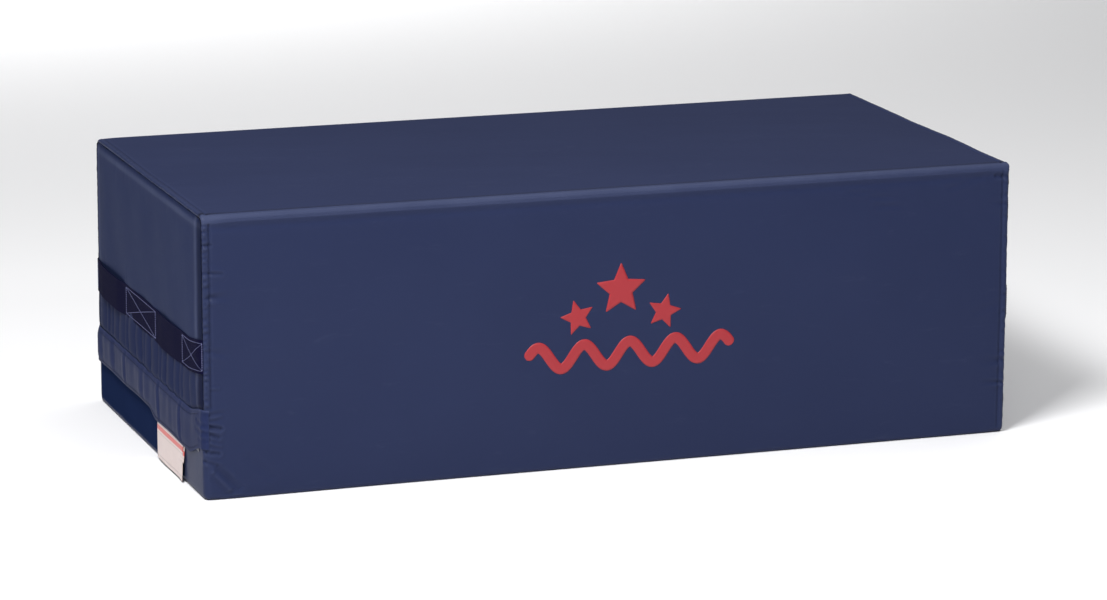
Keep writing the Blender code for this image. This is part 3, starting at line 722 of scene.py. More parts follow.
def make_wrap():
    rows = cross_section()
    R, L = corner_radii(XS)
    n, m = len(XS), len(rows)
    Y, Z, NY, NZ, V = (np.zeros((n, m)) for _ in range(5))
    for j, (seg, t) in enumerate(rows):
        y, z, ny, nz = wrap_point(seg, t, R, L)
        lift = wrap_lift(seg, t, XS, y, z)
        Y[:, j], Z[:, j], NY[:, j], NZ[:, j] = y + ny * lift, z + nz * lift, ny, nz
    for seg in ("base_front", "base"):       # the sag and the corner's turn carry on under the low front edge
        cols = [j for j, row in enumerate(rows) if row[0] == seg]
        zero = np.zeros_like(XS)
        turned = np.clip((-XS - (FACE_IN - CORNER_R)) / CORNER_R, 0, 1)
        turned = CORNER_R * (1 - np.sqrt(1 - turned ** 2))
        for j in cols:
            near = smooth((-HY + 0.060 - Y[:, j]) / 0.060) if seg == "base" else 1.0
            Y[:, j] += (turned * (1.0 if seg == "base_front" else smooth((-HY + 0.030 - Y[:, j]) / 0.024))
                        - sag(XS, zero + 0.006) * near)
    j0 = [j for j, row in enumerate(rows) if row[0] == "front"]
    for j in j0:
        low = 1 - smooth((Z[:, j] - 0.006) / 0.010)
        Y[:, j] -= low * sag(XS, Z[:, j]) * (1 - smooth(Z[:, j] / 0.012) * smooth((HZ - Z[:, j]) / 0.012))
    Z = np.maximum(Z, 0.0)
    X = np.repeat(XS[:, None], m, 1)
    # a small pointed ear where the right seam turns each top corner
    for sign, size in ((-1, 1.0), (1, 0.7)):
        near = np.exp(-((HZ - Z) / 0.010) ** 2 - ((Y - sign * HY) / 0.010) ** 2 - ((X_EDGE - X) / 0.011) ** 2)
        X += 0.0020 * size * near
        Z += 0.0008 * size * near
    near = np.exp(-((HZ - Z) / 0.010) ** 2 - ((Y - HY) / 0.010) ** 2 - ((X_EDGE + X) / 0.010) ** 2)
    Z -= 0.0012 * near
    mid = n // 2
    step = np.hypot(np.diff(Y[mid], append=Y[mid, :1]), np.diff(Z[mid], append=Z[mid, :1]))
    v = np.concatenate([[0], np.cumsum(step)[:-1]])
    V[:] = v[None, :]
    # turned in at both ends, into the seams
    turn = [(ROLL * math.sin(math.radians(a)), ROLL * (1 - math.cos(math.radians(a)))) for a in (18, 36, 54, 72, 88)]
    turn += [(ROLL - 0.0003, ROLL + 0.0035)]
    k_t = len(turn)

    def inward(i, sign, dx, depth):
        y, z = Y[i] - NY[i] * depth, Z[i] - NZ[i] * depth
        return X[i] + sign * dx, y, np.maximum(z, 0.0)

    P = np.stack([X, Y, Z], -1)
    left = np.stack([np.stack(inward(0, -1, dx, dep), -1) for dx, dep in turn[::-1]], 0)
    right = np.stack([np.stack(inward(n - 1, 1, dx, dep), -1) for dx, dep in turn], 0)
    P = np.concatenate([left, P, right], 0)
    beyond = np.array([0.0011, 0.0022, 0.0033, 0.0044, 0.0055, 0.0090])
    U = np.concatenate([XS[0] - beyond[::-1], XS, XS[-1] + beyond])
    UV = np.stack([np.repeat(U[:, None], m, 1), np.repeat(v[None, :], len(U), 0)], -1)
    N = len(U)
    verts, uv = P.reshape(-1, 3), UV.reshape(-1, 2)
    faces = grid_faces(N, m, close_v=True)
    # the low front corner: drop the turned in strip there and carry the fabric on round the corner
    low_rows = [j for j, (seg, t) in enumerate(rows) if seg == "base_front" or (seg == "front" and Z[0, j] < CORNER_Z)]
    start = [j for j in range(m) if rows[j][0] == "base_front"] + [j for j in low_rows if rows[j][0] == "front"]
    quad_i, quad_j = np.divmod(np.arange(len(faces)), m)
    jn = (quad_j + 1) % m
    both = np.isin(quad_j, low_rows) & np.isin(jn, low_rows)
    faces = faces[~((quad_i < k_t) & both)]
    seam_index = k_t * m                 # the last flat column on the left
    K = 64
    base = len(verts)
    add, add_uv = [], []
    for j in start:
        y_j, z0 = P[k_t, j, 1], P[k_t, j, 2]
        sag_j = float(sag(XS[0], max(z0, 0.006)))
        if rows[j][0] == "front":
            q = 0.0
        else:
            q = L[0] * (1 + math.cos(-PI / 2 - rows[j][1] * PI / 2))
        ny, nz = NY[0, j], NZ[0, j]
        r = max(CORNER_R - q, 0.0006)
        cxp, cyp = -(FACE_IN - CORNER_R), -(HY - CORNER_R)
        a0 = math.asin(min(1.0, max(0.0, (SEAM - (FACE_IN - CORNER_R)) / r))) if r > SEAM - (FACE_IN - CORNER_R) else 0.5
        y_end = TUCK_EDGE - 0.092 * float(smooth((z0 - 0.056) / 0.024))
        run = y_end - cyp
        a_s = math.asin(min(1.0, (SEAM - (FACE_IN - CORNER_R)) / CORNER_R))
        jump = (cyp - r * math.cos(a0)) - y_j     # what the flat rows add: sag, crown
        arc = r * (PI / 2 - a0)
        total = arc + run + 0.0045
        for k in range(1, K + 1):
            f = k / K
            # finer steps on the bend
            s = total * (0.42 * f + 0.58 * f ** 2.2)
            if s < arc:
                a = a0 + s / r
                x, y = cxp - r * math.sin(a), cyp - r * math.cos(a)
                nx_, ny_ = -math.sin(a), -math.cos(a)
            elif s < arc + run:
                x, y = cxp - r, cyp + (s - arc)
                nx_, ny_ = -1.0, 0.0
            else:
                over = s - arc - run     # the folded edge of the tab, turned back under itself
                ang = over / 0.0045 * PI
                x, y = cxp - r + 0.0011 * (1 - math.cos(ang)), y_end + 0.0014 * math.sin(ang)
                nx_, ny_ = -math.cos(ang), math.sin(ang)
            S = -(SEAM + s)
            soft = smooth(s / 0.02)
            puff = 0.0013 * math.sin(PI * min(1.0, max(0.0, (s - arc * 0.2) / (arc + run)))) ** 0.7 * math.sin(PI * min(1.0, z0 / 0.09)) ** 0.7
            lift = float(creases(np.array([S]), np.array([z0]), MARKS)[0]) + puff * float(soft)
            side = abs(ny) if rows[j][0] != "front" else 1.0
            keep = 1.0 - float(smooth(s / (arc + 0.030)))
            add.append((x + nx_ * lift * side, y + ny_ * lift * side - jump * keep, max(z0 + nz * lift * 0.3, 0.0)))
            add_uv.append((S, uv[seam_index + j][1]))
    verts = np.concatenate([verts, np.array(add)], 0)
    uv = np.concatenate([uv, np.array(add_uv)], 0)

    def index(r, k):
        return seam_index + start[r] if k == 0 else base + r * K + (k - 1)

    extra = []
    for r in range(len(start) - 1):
        for k in range(K):
            extra.append((index(r, k), index(r + 1, k), index(r + 1, k + 1), index(r, k + 1)))
    faces = faces.tolist() + extra
    ob = mesh_object("cover_wrap_fabric", verts, faces, uv)
    bm = bmesh.new()
    bm.from_mesh(ob.data)
    bmesh.ops.recalc_face_normals(bm, faces=bm.faces)
    bm.to_mesh(ob.data)
    bm.free()
    return ob


wrap = make_wrap()
dress(wrap, M_VINYL, "block", ("cover_wrap", "left_corner_tuck"))

# ------------------------------------------------------------------ end panels
RIM_A = FACE - (X_EDGE - 0.0004)   # depth of the rolled rim, along X
RIM_Y, RIM_Z = 0.0200, 0.0130
LIM = Y_OUT - RIM_Y            # the flat part of an end reaches this far to each side


def stitch_line(y):
    """Height of the closure's stitch line: level, then rising to the front corner."""
    return FLAP_TOP + 0.0025 + 0.0110 * smooth((-0.235 - y) / 0.066)


class Gathers:
    """Upright folds of gathered fabric: broad rounded ridges between tight valleys."""

    def __init__(self, seed, lo, hi, step):
        rng = np.random.default_rng(seed)
        self.edge = [lo]
        while self.edge[-1] < hi:
            self.edge.append(self.edge[-1] + step * (0.55 + 0.95 * rng.random()))
        self.edge = np.array(self.edge)
        k = len(self.edge)
        self.height = 0.6 + 0.7 * rng.random(k)
        self.reach = rng.random(k)
        self.lean = rng.normal(0, 0.05, k)

    def __call__(self, y, z, z0):
        yy = y + 0.0015 * np.sin((z - z0) * 95 + y * 21)
        i = np.clip(np.searchsorted(self.edge, yy) - 1, 0, len(self.edge) - 2)
        w = self.edge[i + 1] - self.edge[i]
        f = np.clip((yy - self.edge[i]) / w, 0, 1)
        h = (np.sin(PI * f) ** 0.8) * self.height[i] * np.clip(w / 0.022, 0.5, 1.3)
        up = z - z0
        near = 0.45 + 0.55 * smooth(up / 0.014)
        fade = 1 - smooth((up - (0.030 + 0.055 * self.reach[i])) / 0.060)
        return (h - 0.45) * near * np.clip(fade, 0, 1)


gather_left = Gathers(21, -0.31, 0.31, 0.0285)
soft_end = Waves(31, 0.16, stretch=(1.2, 0.7))
puck_end_f = Puckers(32, 0.13, 0.39, 0.0120, 0.0007, 0.010, 0.0028)
puck_end_b = Puckers(33, 0.06, 0.39, 0.0130, 0.0007, 0.010, 0.0028)
puck_end_t = Puckers(34, -0.30, 0.30, 0.0150, 0.0008, 0.013, 0.0034)


def end_lift(y, z, left=True):
    """How far an end panel stands out past its plane."""
    ty = np.clip((HY - np.abs(y)) / 0.08, 0, 1)
    tz = np.clip((HZ - z) / 0.07, 0, 1)
    lift = 0.0014 * smooth(ty) * smooth(tz) + 0.00045 * soft_end(y, z if left else z + 3.0) * smooth(ty) * smooth(tz)
    if left:
        z0 = stitch_line(y)
        calm = smooth((y + 0.320) / 0.150)
        ripple = gather_left(y, z, z0) * (0.30 + 0.70 * calm)
        ripple = ripple * (1 - smooth((z - 0.212) / 0.025) * (1 - 0.75 * smooth((y + 0.04) / 0.14)))
        strap = np.exp(-((z - WEB_Z) / 0.030) ** 4)
        lift = lift + 0.0030 * ripple * (1 - 0.80 * strap)
        lift = lift - 0.0014 * strap
        lift = lift - 0.0026 * np.exp(-((z - z0) / 0.0042) ** 2)     # pulled in at the stitch line
        lift = lift + puck_end_f(z, HY + y) * 0.6 + puck_end_b(z, HY - y) * 0.6 + puck_end_t(y, HZ - z) * 0.16
    else:
        strap = np.exp(-((z - WEB_Z) / 0.030) ** 4)
        lift = lift - 0.0012 * strap
        lift = lift + puck_end_b(z, HY + y) * 0.6 + puck_end_f(z, HY - y) * 0.6 + puck_end_t(y + 0.013, HZ - z) * 0.3
    return lift


def rim_map(py, pz):
    """Place in the rolled rim, each from 0 at its inner edge to 1 at the seam, as outward shares and depth."""
    big = np.maximum(py, pz)
    h = np.hypot(py, pz)
    safe = np.where(h > 1e-9, h, 1.0)
    rho = np.sin(big * PI / 2)
    return rho * py / safe, rho * pz / safe, 1 - np.sqrt(np.clip(1 - rho ** 2, 0, 1)), rho


def end_surface(side, ys, zs, py, pz_hi, pz_lo=None, left=True):
    """Positions on an end panel. ys, zs are flat coordinates; p* say how far each is into the rim."""
    pz = pz_hi if pz_lo is None else np.maximum(pz_hi, pz_lo)
    oy, oz, depth, rho = rim_map(py, pz)
    zsign = 1.0 if pz_lo is None else np.where(pz_lo > pz_hi, -1.0, 1.0)
    y = ys + np.sign(ys) * oy * RIM_Y
    z = zs + zsign * oz * RIM_Z
    lift = end_lift(y, z, left) * (1 - 0.55 * rho ** 3)
    nx = np.sqrt(np.clip(1 - rho ** 2, 0.0, 1))
    h = np.where(rho > 1e-9, rho, 1.0)
    x = FACE - RIM_A * depth + nx * lift
    y = y + np.sign(ys) * (oy / h) * rho * lift * (py > 0)
    z = z + zsign * (oz / h) * rho * lift * (pz > 0)
    return np.stack([side * x, y, z], -1)


def rim_steps(k):
    return np.linspace(0, 1, k + 1)[1:]


def make_left_end():
    flat_y = np.linspace(-LIM, LIM, 261)
    k = 12
    ys = np.concatenate([np.full(k, flat_y[0]), flat_y, np.full(k, flat_y[-1])])
    py = np.concatenate([rim_steps(k)[::-1], np.zeros(len(flat_y)), rim_steps(k)])
    top = Z_OUT - RIM_Z
    low = np.linspace(0, 1, 62)
    hi = np.linspace(0, 1, 64)[1:]
    n_rows = len(low) + len(hi)
    z_mid = WEB_Z + 0.035
    y_true = ys + np.sign(ys) * np.sin(py * PI / 2) * RIM_Y
    z0 = stitch_line(y_true) + 0.0004
    zs = np.concatenate([z0[None, :] + low[:, None] * (z_mid - z0[None, :]),
                         np.repeat((z_mid + hi * (top - z_mid))[:, None], len(ys), 1)], 0)
    pz = np.zeros((n_rows, len(ys)))
    zs = np.concatenate([zs, np.full((k, len(ys)), top)], 0)
    pz = np.concatenate([pz, np.repeat(rim_steps(k)[:, None], len(ys), 1)], 0)
    Yg = np.repeat(ys[None, :], len(zs), 0)
    Pg = np.repeat(py[None, :], len(zs), 0)
    P = end_surface(-1, Yg, zs, Pg, pz, left=True)
    # the lower edge turns in, into the closure's stitch line
    first = P[0].copy()
    tucks = []
    for dx, dz in ((0.0007, -0.0007), (0.0011, -0.0022), (0.0013, -0.0060), (0.0014, -0.0100)):
        t = first.copy()
        t[:, 0] = np.minimum(t[:, 0] + dx, -0.6118 + 0.0040 * np.clip((np.abs(t[:, 1]) - LIM) / RIM_Y, 0, 1) ** 3)
        t[:, 2] += dz
        tucks.append(t)
    P = np.concatenate([np.stack(tucks[::-1]), P], 0)
    UV = np.stack([P[..., 1], P[..., 2] + 0.0], -1)
    UV[:, :k, 0] -= (P[:, :k, 0] + FACE)
    UV[:, -k:, 0] += (P[:, -k:, 0] + FACE)
    return grid_object("left_end_fabric", P, UV, flip=False)


def make_right_end():
    flat_y = np.linspace(-LIM, LIM, 221)
    k = 12
    ys = np.concatenate([np.full(k, flat_y[0]), flat_y, np.full(k, flat_y[-1])])
    py = np.concatenate([rim_steps(k)[::-1], np.zeros(len(flat_y)), rim_steps(k)])
    top, bot = Z_OUT - RIM_Z, RIM_Z + 0.0036
    zz = np.linspace(bot, top, 150)
    zs = np.concatenate([np.full(k, bot), zz, np.full(k, top)])
    hi = np.concatenate([np.zeros(k + len(zz)), rim_steps(k)])
    lo = np.concatenate([rim_steps(k)[::-1], np.zeros(len(zz) + k)])
    Yg, Zg = np.meshgrid(ys, zs)
    Pg = np.repeat(py[None, :], len(zs), 0)
    Hg, Lg = np.repeat(hi[:, None], len(ys), 1), np.repeat(lo[:, None], len(ys), 1)
    P = end_surface(1, Yg, Zg, Pg, Hg, Lg, left=False)
    P[..., 2] = np.maximum(P[..., 2], 0.0002)
    UV = np.stack([P[..., 1], P[..., 2]], -1)
    return grid_object("right_end_fabric", P, UV, flip=True)


left_end = make_left_end()
dress(left_end, M_END, "block", ("left_end_panel",))
right_end = make_right_end()
dress(right_end, M_END_PLAIN, "block", ("right_end_panel",))

# ------------------------------------------------------------------ the tucked panel behind the flap
def make_lower():
    ys = np.linspace(-0.2975, 0.3036, 150)
    back = smooth((ys - 0.2985) / 0.0052)
    prof = [(0.6112, 0.1120), (0.6120, 0.1060)]
    prof += [(0.6120, z) for z in np.linspace(0.100, 0.062, 8)]
    prof += [(0.6120, z) for z in np.linspace(0.060, 0.0062, 24)]
    prof += [(0.6120 - 0.0055 * (1 - math.cos(a)), 0.0057 - 0.0053 * math.sin(a)) for a in np.linspace(0, PI / 2, 8)]
    prof += [(0.6000, 0.0004), (0.5900, 0.0005)]
    w = Waves(41, 0.13, stretch=(1.0, 0.6))
    w2 = Waves(42, 0.045, stretch=(1.0, 0.4))
    P = np.zeros((len(prof), len(ys), 3))
    for i, (x, z) in enumerate(prof):
        env = smooth((z - 0.002) / 0.02) * smooth((0.112 - z) / 0.03)
        lift = (0.00045 * (1.1 + w(ys, z)) + 0.00015 * (1 + w2(ys, z))) * env
        lift = np.maximum(lift, 0)
        P[i, :, 0] = -(x + lift - 0.0016 * back * (1 if z > 0.004 else 0.4))
        P[i, :, 1] = ys
        P[i, :, 2] = z
    UV = np.stack([P[..., 1], P[..., 2]], -1)
    run = np.concatenate([[0], np.cumsum([math.dist(a, b) for a, b in zip(prof[:-1], prof[1:])])])
    UV[..., 1] = -run[:, None]
    ob = grid_object("left_tucked_panel_fabric", P, UV, flip=True)
    m = ob.modifiers.new("thickness", "SOLIDIFY")
    m.thickness, m.offset = 0.0006, -1
    return ob


lower = make_lower()
dress(lower, M_TUCKED_SHADED, "block", ("left_tuck_panel",))

# ------------------------------------------------------------------ the closure flap
buckle = Waves(51, 0.115, n=6, stretch=(1.0, 0.15))
fine = Waves(52, 0.040, n=8, stretch=(1.0, 0.35))
rng = np.random.default_rng(53)
flap_folds = [(-0.200, -0.0015, 0.0045)]
yf = -0.150
while yf < 0.29:
    flap_folds.append((yf, -0.0015 * (0.4 + 0.8 * rng.random()), 0.0045 + 0.0055 * rng.random()))
    yf += 0.060 + 0.045 * rng.random()


def flap_low(y):
    return (FLAP_LOW + 0.0070 - 0.0105 * smooth((-0.015 - y) / 0.040) + 0.0165 * smooth((-0.240 - y) / 0.060)
            + 0.0007 * np.sin(y * 37))


CORNER_MARKS = [                     # y along the fabric, z, to y, z
    (-0.3120, 0.1060, -0.2820, 0.1120, -0.0011, 0.0030),
    (-0.3120, 0.1010, -0.2900, 0.1040, 0.0007, 0.0024),
    (-0.3120, 0.0950, -0.2760, 0.0985, -0.0009, 0.0030),
    (-0.3120, 0.0850, -0.2900, 0.0860, -0.0008, 0.0026),
]


def flap_path():
    """Columns of the flap from near to far: base place, outward direction and the run along the fabric."""
    cols = []
    cx, cy, r = -(FACE_IN - CORNER_R), -(HY - CORNER_R), CORNER_R + 0.0015
    for deg in np.linspace(78, 0, 18):
        a = math.radians(deg)
        cols.append((cx - r * math.cos(a), cy - r * math.sin(a), -math.cos(a), -math.sin(a), cy - r * a))
    x1 = -(FACE + 0.0004)
    for f in (0.25, 0.5, 0.75):
        y = cy + (-LIM - cy) * f
        cols.append((cols[17][0] + (x1 - cols[17][0]) * smooth(f), y, -1.0, 0.0, y))
    for y in np.linspace(-LIM, LIM, 290):
        cols.append((x1, y, -1.0, 0.0, y))
    for p in rim_steps(12) * 0.66:
        o = math.sin(p * PI / 2)
        c = math.sqrt(1 - o * o)
        cols.append((x1 + RIM_A * (1 - c), LIM + o * RIM_Y, -c, o * 0.8, LIM + o * RIM_Y))
    return np.array(cols)


def make_flap():
    bx, by, nx, ny, y = flap_path().T
    ztop = stitch_line(y) + 0.0002
    zlow = flap_low(y)
    near = smooth((-0.262 - y) / 0.038)          # 1 on the corner, where the fabric lies thin
    tip = smooth((-0.3045 - y) / 0.0100)         # 1 at its end, which is sewn down flat on the front
    inset = SEAM - (FACE_IN - CORNER_R)
    a0 = math.asin(min(1.0, inset / CORNER_R))
    arc = CORNER_R * (PI / 2 - a0)
    flat_at = -(HY - CORNER_R) - CORNER_R * math.cos(a0)
    ease = 1 - smooth((arc + y + (HY - CORNER_R)) / (arc + 0.030))
    P, uv = [], []
    for v in np.linspace(0, 1, 28):
        full = 0.0002 + 0.0038 * (1 - (1 - min(v / 0.30, 1)) ** 2.2) * (1 - 0.35 * smooth((v - 0.72) / 0.28))
        z = ztop + (zlow - ztop) * v
        env = math.sin(PI * min(max(v, 0.0), 1.0)) ** 0.5
        lift = full * (1 - 0.80 * near)
        lift = lift + (0.0013 * buckle(y, z) * env * (0.5 + 0.5 * v) + 0.00028 * fine(y, z) * env) * (1 - 0.6 * near)
        for y0, d, w in flap_folds:
            q = (y - y0 - 0.10 * (z - 0.088)) / w
            lift = lift + d * env * (np.exp(-q ** 2) - 0.8 * np.exp(-((q - 1.9) / 1.3) ** 2))
        lift = lift + creases(y, z, CORNER_MARKS) * smooth((-0.262 - y) / 0.02)
        lift = np.maximum(lift * (1 - 0.8 * tip), 0.0003)
        push = ease * (flat_at + HY + front_lift(np.full_like(z, -SEAM), z))
        P.append(np.stack([bx + nx * lift, by + ny * lift - push, z], -1))
        uv.append(np.stack([y, -v * 0.055 + np.zeros_like(y)], -1))
    last = P[-1]
    push = ease * (flat_at + HY + front_lift(np.full_like(zlow, -SEAM), zlow))
    thick = np.hypot(last[:, 0] - bx, last[:, 1] - by + push)
    for a in np.linspace(0.25, 1.0, 4):          # the rounded hem
        k = thick * (0.5 + 0.5 * math.cos(PI * a))
        P.append(np.stack([bx + nx * k, by + ny * k - push, zlow - 0.0010 * math.sin(PI * a)], -1))
        uv.append(np.stack([y, np.full_like(y, -0.055 - 0.002 * a)], -1))
    for v in np.linspace(0.93, 0.04, 9):
        z = ztop + (zlow - ztop) * v
        push = ease * (flat_at + HY + front_lift(np.full_like(z, -SEAM), z))
        P.append(np.stack([bx, by - push, z], -1))
        uv.append(np.stack([y, np.full_like(y, -0.060 - (1 - v) * 0.055)], -1))
    P.append(np.stack([bx - nx * 0.0016, by - ny * 0.0008, ztop + 0.0008], -1))   # its sewn edge goes in behind the panel
    uv.append(np.stack([y, np.full_like(y, -0.118)], -1))
    P, uv = np.stack(P, 0), np.stack(uv, 0)
    made = []
    for name, a, b in (("flap_corner_fabric", 0, 18), ("closure_flap_fabric", 17, P.shape[1])):
        Q, quv = P[:, a:b], uv[:, a:b]       # the fabric round the corner is sewn down, and stays when the flap lifts
        k, m = Q.shape[:2]
        faces = []
        for i in range(k):
            i2 = (i + 1) % k
            for j in range(m - 1):
                faces.append((i * m + j, i2 * m + j, i2 * m + j + 1, i * m + j + 1))
        faces.append([i * m for i in range(k)][::-1])
        faces.append([i * m + m - 1 for i in range(k)])
        ob = mesh_object(name, Q.reshape(-1, 3), faces, quv.reshape(-1, 2))
        bm = bmesh.new()
        bm.from_mesh(ob.data)
        bmesh.ops.recalc_face_normals(bm, faces=bm.faces)
        for e in bm.edges:
            if any(len(f.verts) > 4 for f in e.link_faces):
                e.smooth = False
        bm.to_mesh(ob.data)
        bm.free()
        made.append(ob)
    return made[0], made[1], P


flap_corner, flap, flap_P = make_flap()
dress(flap_corner, M_FLAP, "block")
dress(flap, M_FLAP, None, ("closure_flap",))
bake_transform(flap)

# ------------------------------------------------------------------ stitches: short lengths of thread, one after the other
def stitch_run(name, lines, radius, pitch=0.0034, fill=0.84, proud=0.25, sides=6):
    """lines is a list of (points, normals); each stitch is a small arched capsule that dives in at both ends."""
    V, F, UV = [], [], []
    for pts, nor in lines:
        pts, nor = np.asarray(pts, float), np.asarray(nor, float)
        run = np.concatenate([[0], np.cumsum(np.linalg.norm(np.diff(pts, axis=0), axis=1))])
        count = max(1, int(round(run[-1] / pitch)))
        step = run[-1] / count
        for c in range(count):
            f = np.array([0.0, 0.18, 0.5, 0.82, 1.0])
            s = (c + 0.5 * (1 - fill) + fill * f) * step
            arch = np.array([-0.75, 0.15, 0.42, 0.15, -0.75]) * radius * (1 + proud)
            wide = np.array([0.55, 0.95, 1.0, 0.95, 0.55]) * radius
            C = np.stack([np.interp(s, run, pts[:, i]) for i in range(3)], 1)
            N = np.stack([np.interp(s, run, nor[:, i]) for i in range(3)], 1)
            N /= np.linalg.norm(N, axis=1, keepdims=True)
            T = C[-1] - C[0]
            T /= np.linalg.norm(T)
            B = np.cross(N, T)
            B /= np.linalg.norm(B, axis=1, keepdims=True)
            C = C + N * arch[:, None]
            ang = np.arange(sides) / sides * 2 * PI
            ring = (C[:, None] + wide[:, None, None] * (np.cos(ang)[None, :, None] * B[:, None]
                                                       + np.sin(ang)[None, :, None] * N[:, None]))
            base = len(V)
            V.extend(ring.reshape(-1, 3).tolist())
            for i in range(5):
                for q in range(sides):
                    UV.append((s[i], q * 0.0003))
            F.extend((grid_faces(5, sides, close_v=True) + base).tolist())
            F.append([base + q for q in reversed(range(sides))][::-1])
            F.append([base + 4 * sides + q for q in reversed(range(sides))])
    ob = mesh_object(name, V, F, UV)
    bm = bmesh.new()
    bm.from_mesh(ob.data)
    bmesh.ops.recalc_face_normals(bm, faces=bm.faces)
    bm.to_mesh(ob.data)
    bm.free()
    return ob


# flap's upper stitches and its hem stitches, laid on the flap's own surface
def flap_row(v):
    i = int(round(v * 27))
    p = flap_P[i, 20:-12]
    n = np.tile(np.array([[-1.0, 0, 0]]), (len(p), 1))
    return p - np.array([[0.0001, 0, 0]]), n


ob = stitch_run("flap_upper_stitches", [flap_row(0.10)], 0.00042, 0.0040)
dress(ob, M_NAVY_THREAD, None, ("flap_upper_stitch",))
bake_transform(ob)
ob = stitch_run("flap_hem_stitches", [flap_row(0.92)], 0.00042, 0.0040)
dress(ob, M_NAVY_THREAD, "closure_flap", ("flap_hem_stitch",))

# ------------------------------------------------------------------ seams: a folded welt with puckered stitches
def seam_path(left):
    """The seam line round an end, with outward directions: front up, across the top, back down (and under on the right)."""
    pts, nor = [], []
    x_side = X_EDGE - 0.0002
    y_s, z_s = Y_OUT - 0.0007, Z_OUT - 0.0007
    r = 0.0085
    z_start = 0.1300 if left else 0.015
    n_up = 260
    for z in np.linspace(z_start, z_s - r, n_up):
        pts.append((x_side, -y_s, z)); nor.append((0, -1, 0))
    for a in np.linspace(0, PI / 2, 14)[1:-1]:
        pts.append((x_side, -y_s + r - r * math.cos(a), z_s - r + r * math.sin(a))); nor.append((0, -math.cos(a), math.sin(a)))
    for y in np.linspace(-y_s + r, y_s - r, 420):
        pts.append((x_side, y, z_s)); nor.append((0, 0, 1))
    for a in np.linspace(PI / 2, 0, 14)[1:-1]:
        pts.append((x_side, y_s - r + r * math.cos(a), z_s - r + r * math.sin(a))); nor.append((0, math.cos(a), math.sin(a)))
    for z in np.linspace(z_s - r, 0.062 if left else 0.015, n_up):
        pts.append((x_side, y_s, z)); nor.append((0, 1, 0))
    if not left:
        for a in np.linspace(0, PI / 2, 10)[1:-1]:
            pts.append((x_side, y_s - r + r * math.cos(a), 0.0150 - 0.0105 * math.sin(a) - 0.0003)); nor.append((0, math.cos(a), -math.sin(a)))
        for y in np.linspace(y_s - r, -y_s + r, 300):
            pts.append((x_side, y, 0.0042)); nor.append((0, 0, -1))
        for a in np.linspace(PI / 2, 0, 10)[1:-1]:
            pts.append((x_side, -y_s + r - r * math.cos(a), 0.0150 - 0.0105 * math.sin(a) - 0.0003)); nor.append((0, -math.cos(a), -math.sin(a)))
    p, n = np.array(pts), np.array(nor, float)
    if left:
        p[:, 0] *= -1
    return p, n


def make_piping(name, left):
    p, n = seam_path(left)
    side = -1 if left else 1
    run = np.concatenate([[0], np.cumsum(np.linalg.norm(np.diff(p, axis=0), axis=1))])
    total = run[-1]
    s = np.arange(0, total, 0.00115)
    C = np.stack([np.interp(s, run, p[:, i]) for i in range(3)], 1)
    N = np.stack([np.interp(s, run, n[:, i]) for i in range(3)], 1)
    N /= np.linalg.norm(N, axis=1, keepdims=True)
    wob = Waves(61 if left else 62, 0.011, n=8)(s, 0 * s)
    wob2 = Waves(63 if left else 64, 0.034, n=6)(s, 0 * s)
    pull = 0.5 + 0.5 * np.cos(2 * PI * s / 0.0036)
    top = smooth((np.abs(N[:, 2]) - 0.6) / 0.3)
    proud = -0.0002 - 0.0005 * top + 0.00016 * wob * (1 - 0.7 * top) + 0.00012 * wob2
    C = C + N * proud[:, None]
    C[:, 0] += side * (0.00015 * wob2 * (1 - 0.4 * top))
    T = np.gradient(C, axis=0)
    base = circle(1.0, 9)
    r_a = 0.00115 * (1 + 0.05 * pull + 0.05 * wob)
    r_b = 0.00115 * (1 + 0.06 * pull - 0.04 * wob)
    fade = smooth(s / 0.010) * smooth((total - s) / 0.010) if left else np.ones_like(s)
    sec = np.stack([base[None, :, 0] * (r_a * (0.35 + 0.65 * fade))[:, None], base[None, :, 1] * (r_b * (0.35 + 0.65 * fade))[:, None]], -1)
    if left:
        return swept(name, C, T, N, sec)
    # closed ring: join the last ring to the first
    T = np.roll(C, -1, 0) - np.roll(C, 1, 0)
    T /= np.linalg.norm(T, axis=1, keepdims=True)
    Sd = np.cross(T, N)
    Sd /= np.linalg.norm(Sd, axis=1, keepdims=True)
    Un = np.cross(Sd, T)
    P = C[:, None] + sec[:, :, :1] * Sd[:, None] + sec[:, :, 1:] * Un[:, None]
    P[..., 2] = np.maximum(P[..., 2], 0.0001)
    nn, k = P.shape[:2]
    faces = grid_faces(nn, k, close_v=True).tolist()
    faces += [((nn - 1) * k + j, j, (j + 1) % k, (nn - 1) * k + (j + 1) % k) for j in range(k)]
    UV = np.stack(np.broadcast_arrays(s[:, None], np.linspace(0, 0.011, k)[None, :]), -1).reshape(-1, 2)
    ob = mesh_object(name, P.reshape(-1, 3), faces, UV)
    bm = bmesh.new()
    bm.from_mesh(ob.data)
    bmesh.ops.recalc_face_normals(bm, faces=bm.faces)
    bm.to_mesh(ob.data)
    bm.free()
    return ob


left_pipe = make_piping("left_seam_piping", True)
dress(left_pipe, M_PIPING_SHADED, "block", ("left_seam_welt",))
right_pipe = make_piping("right_seam_piping", False)
dress(right_pipe, M_PIPING_SHADED, "block", ("right_seam_welt",))


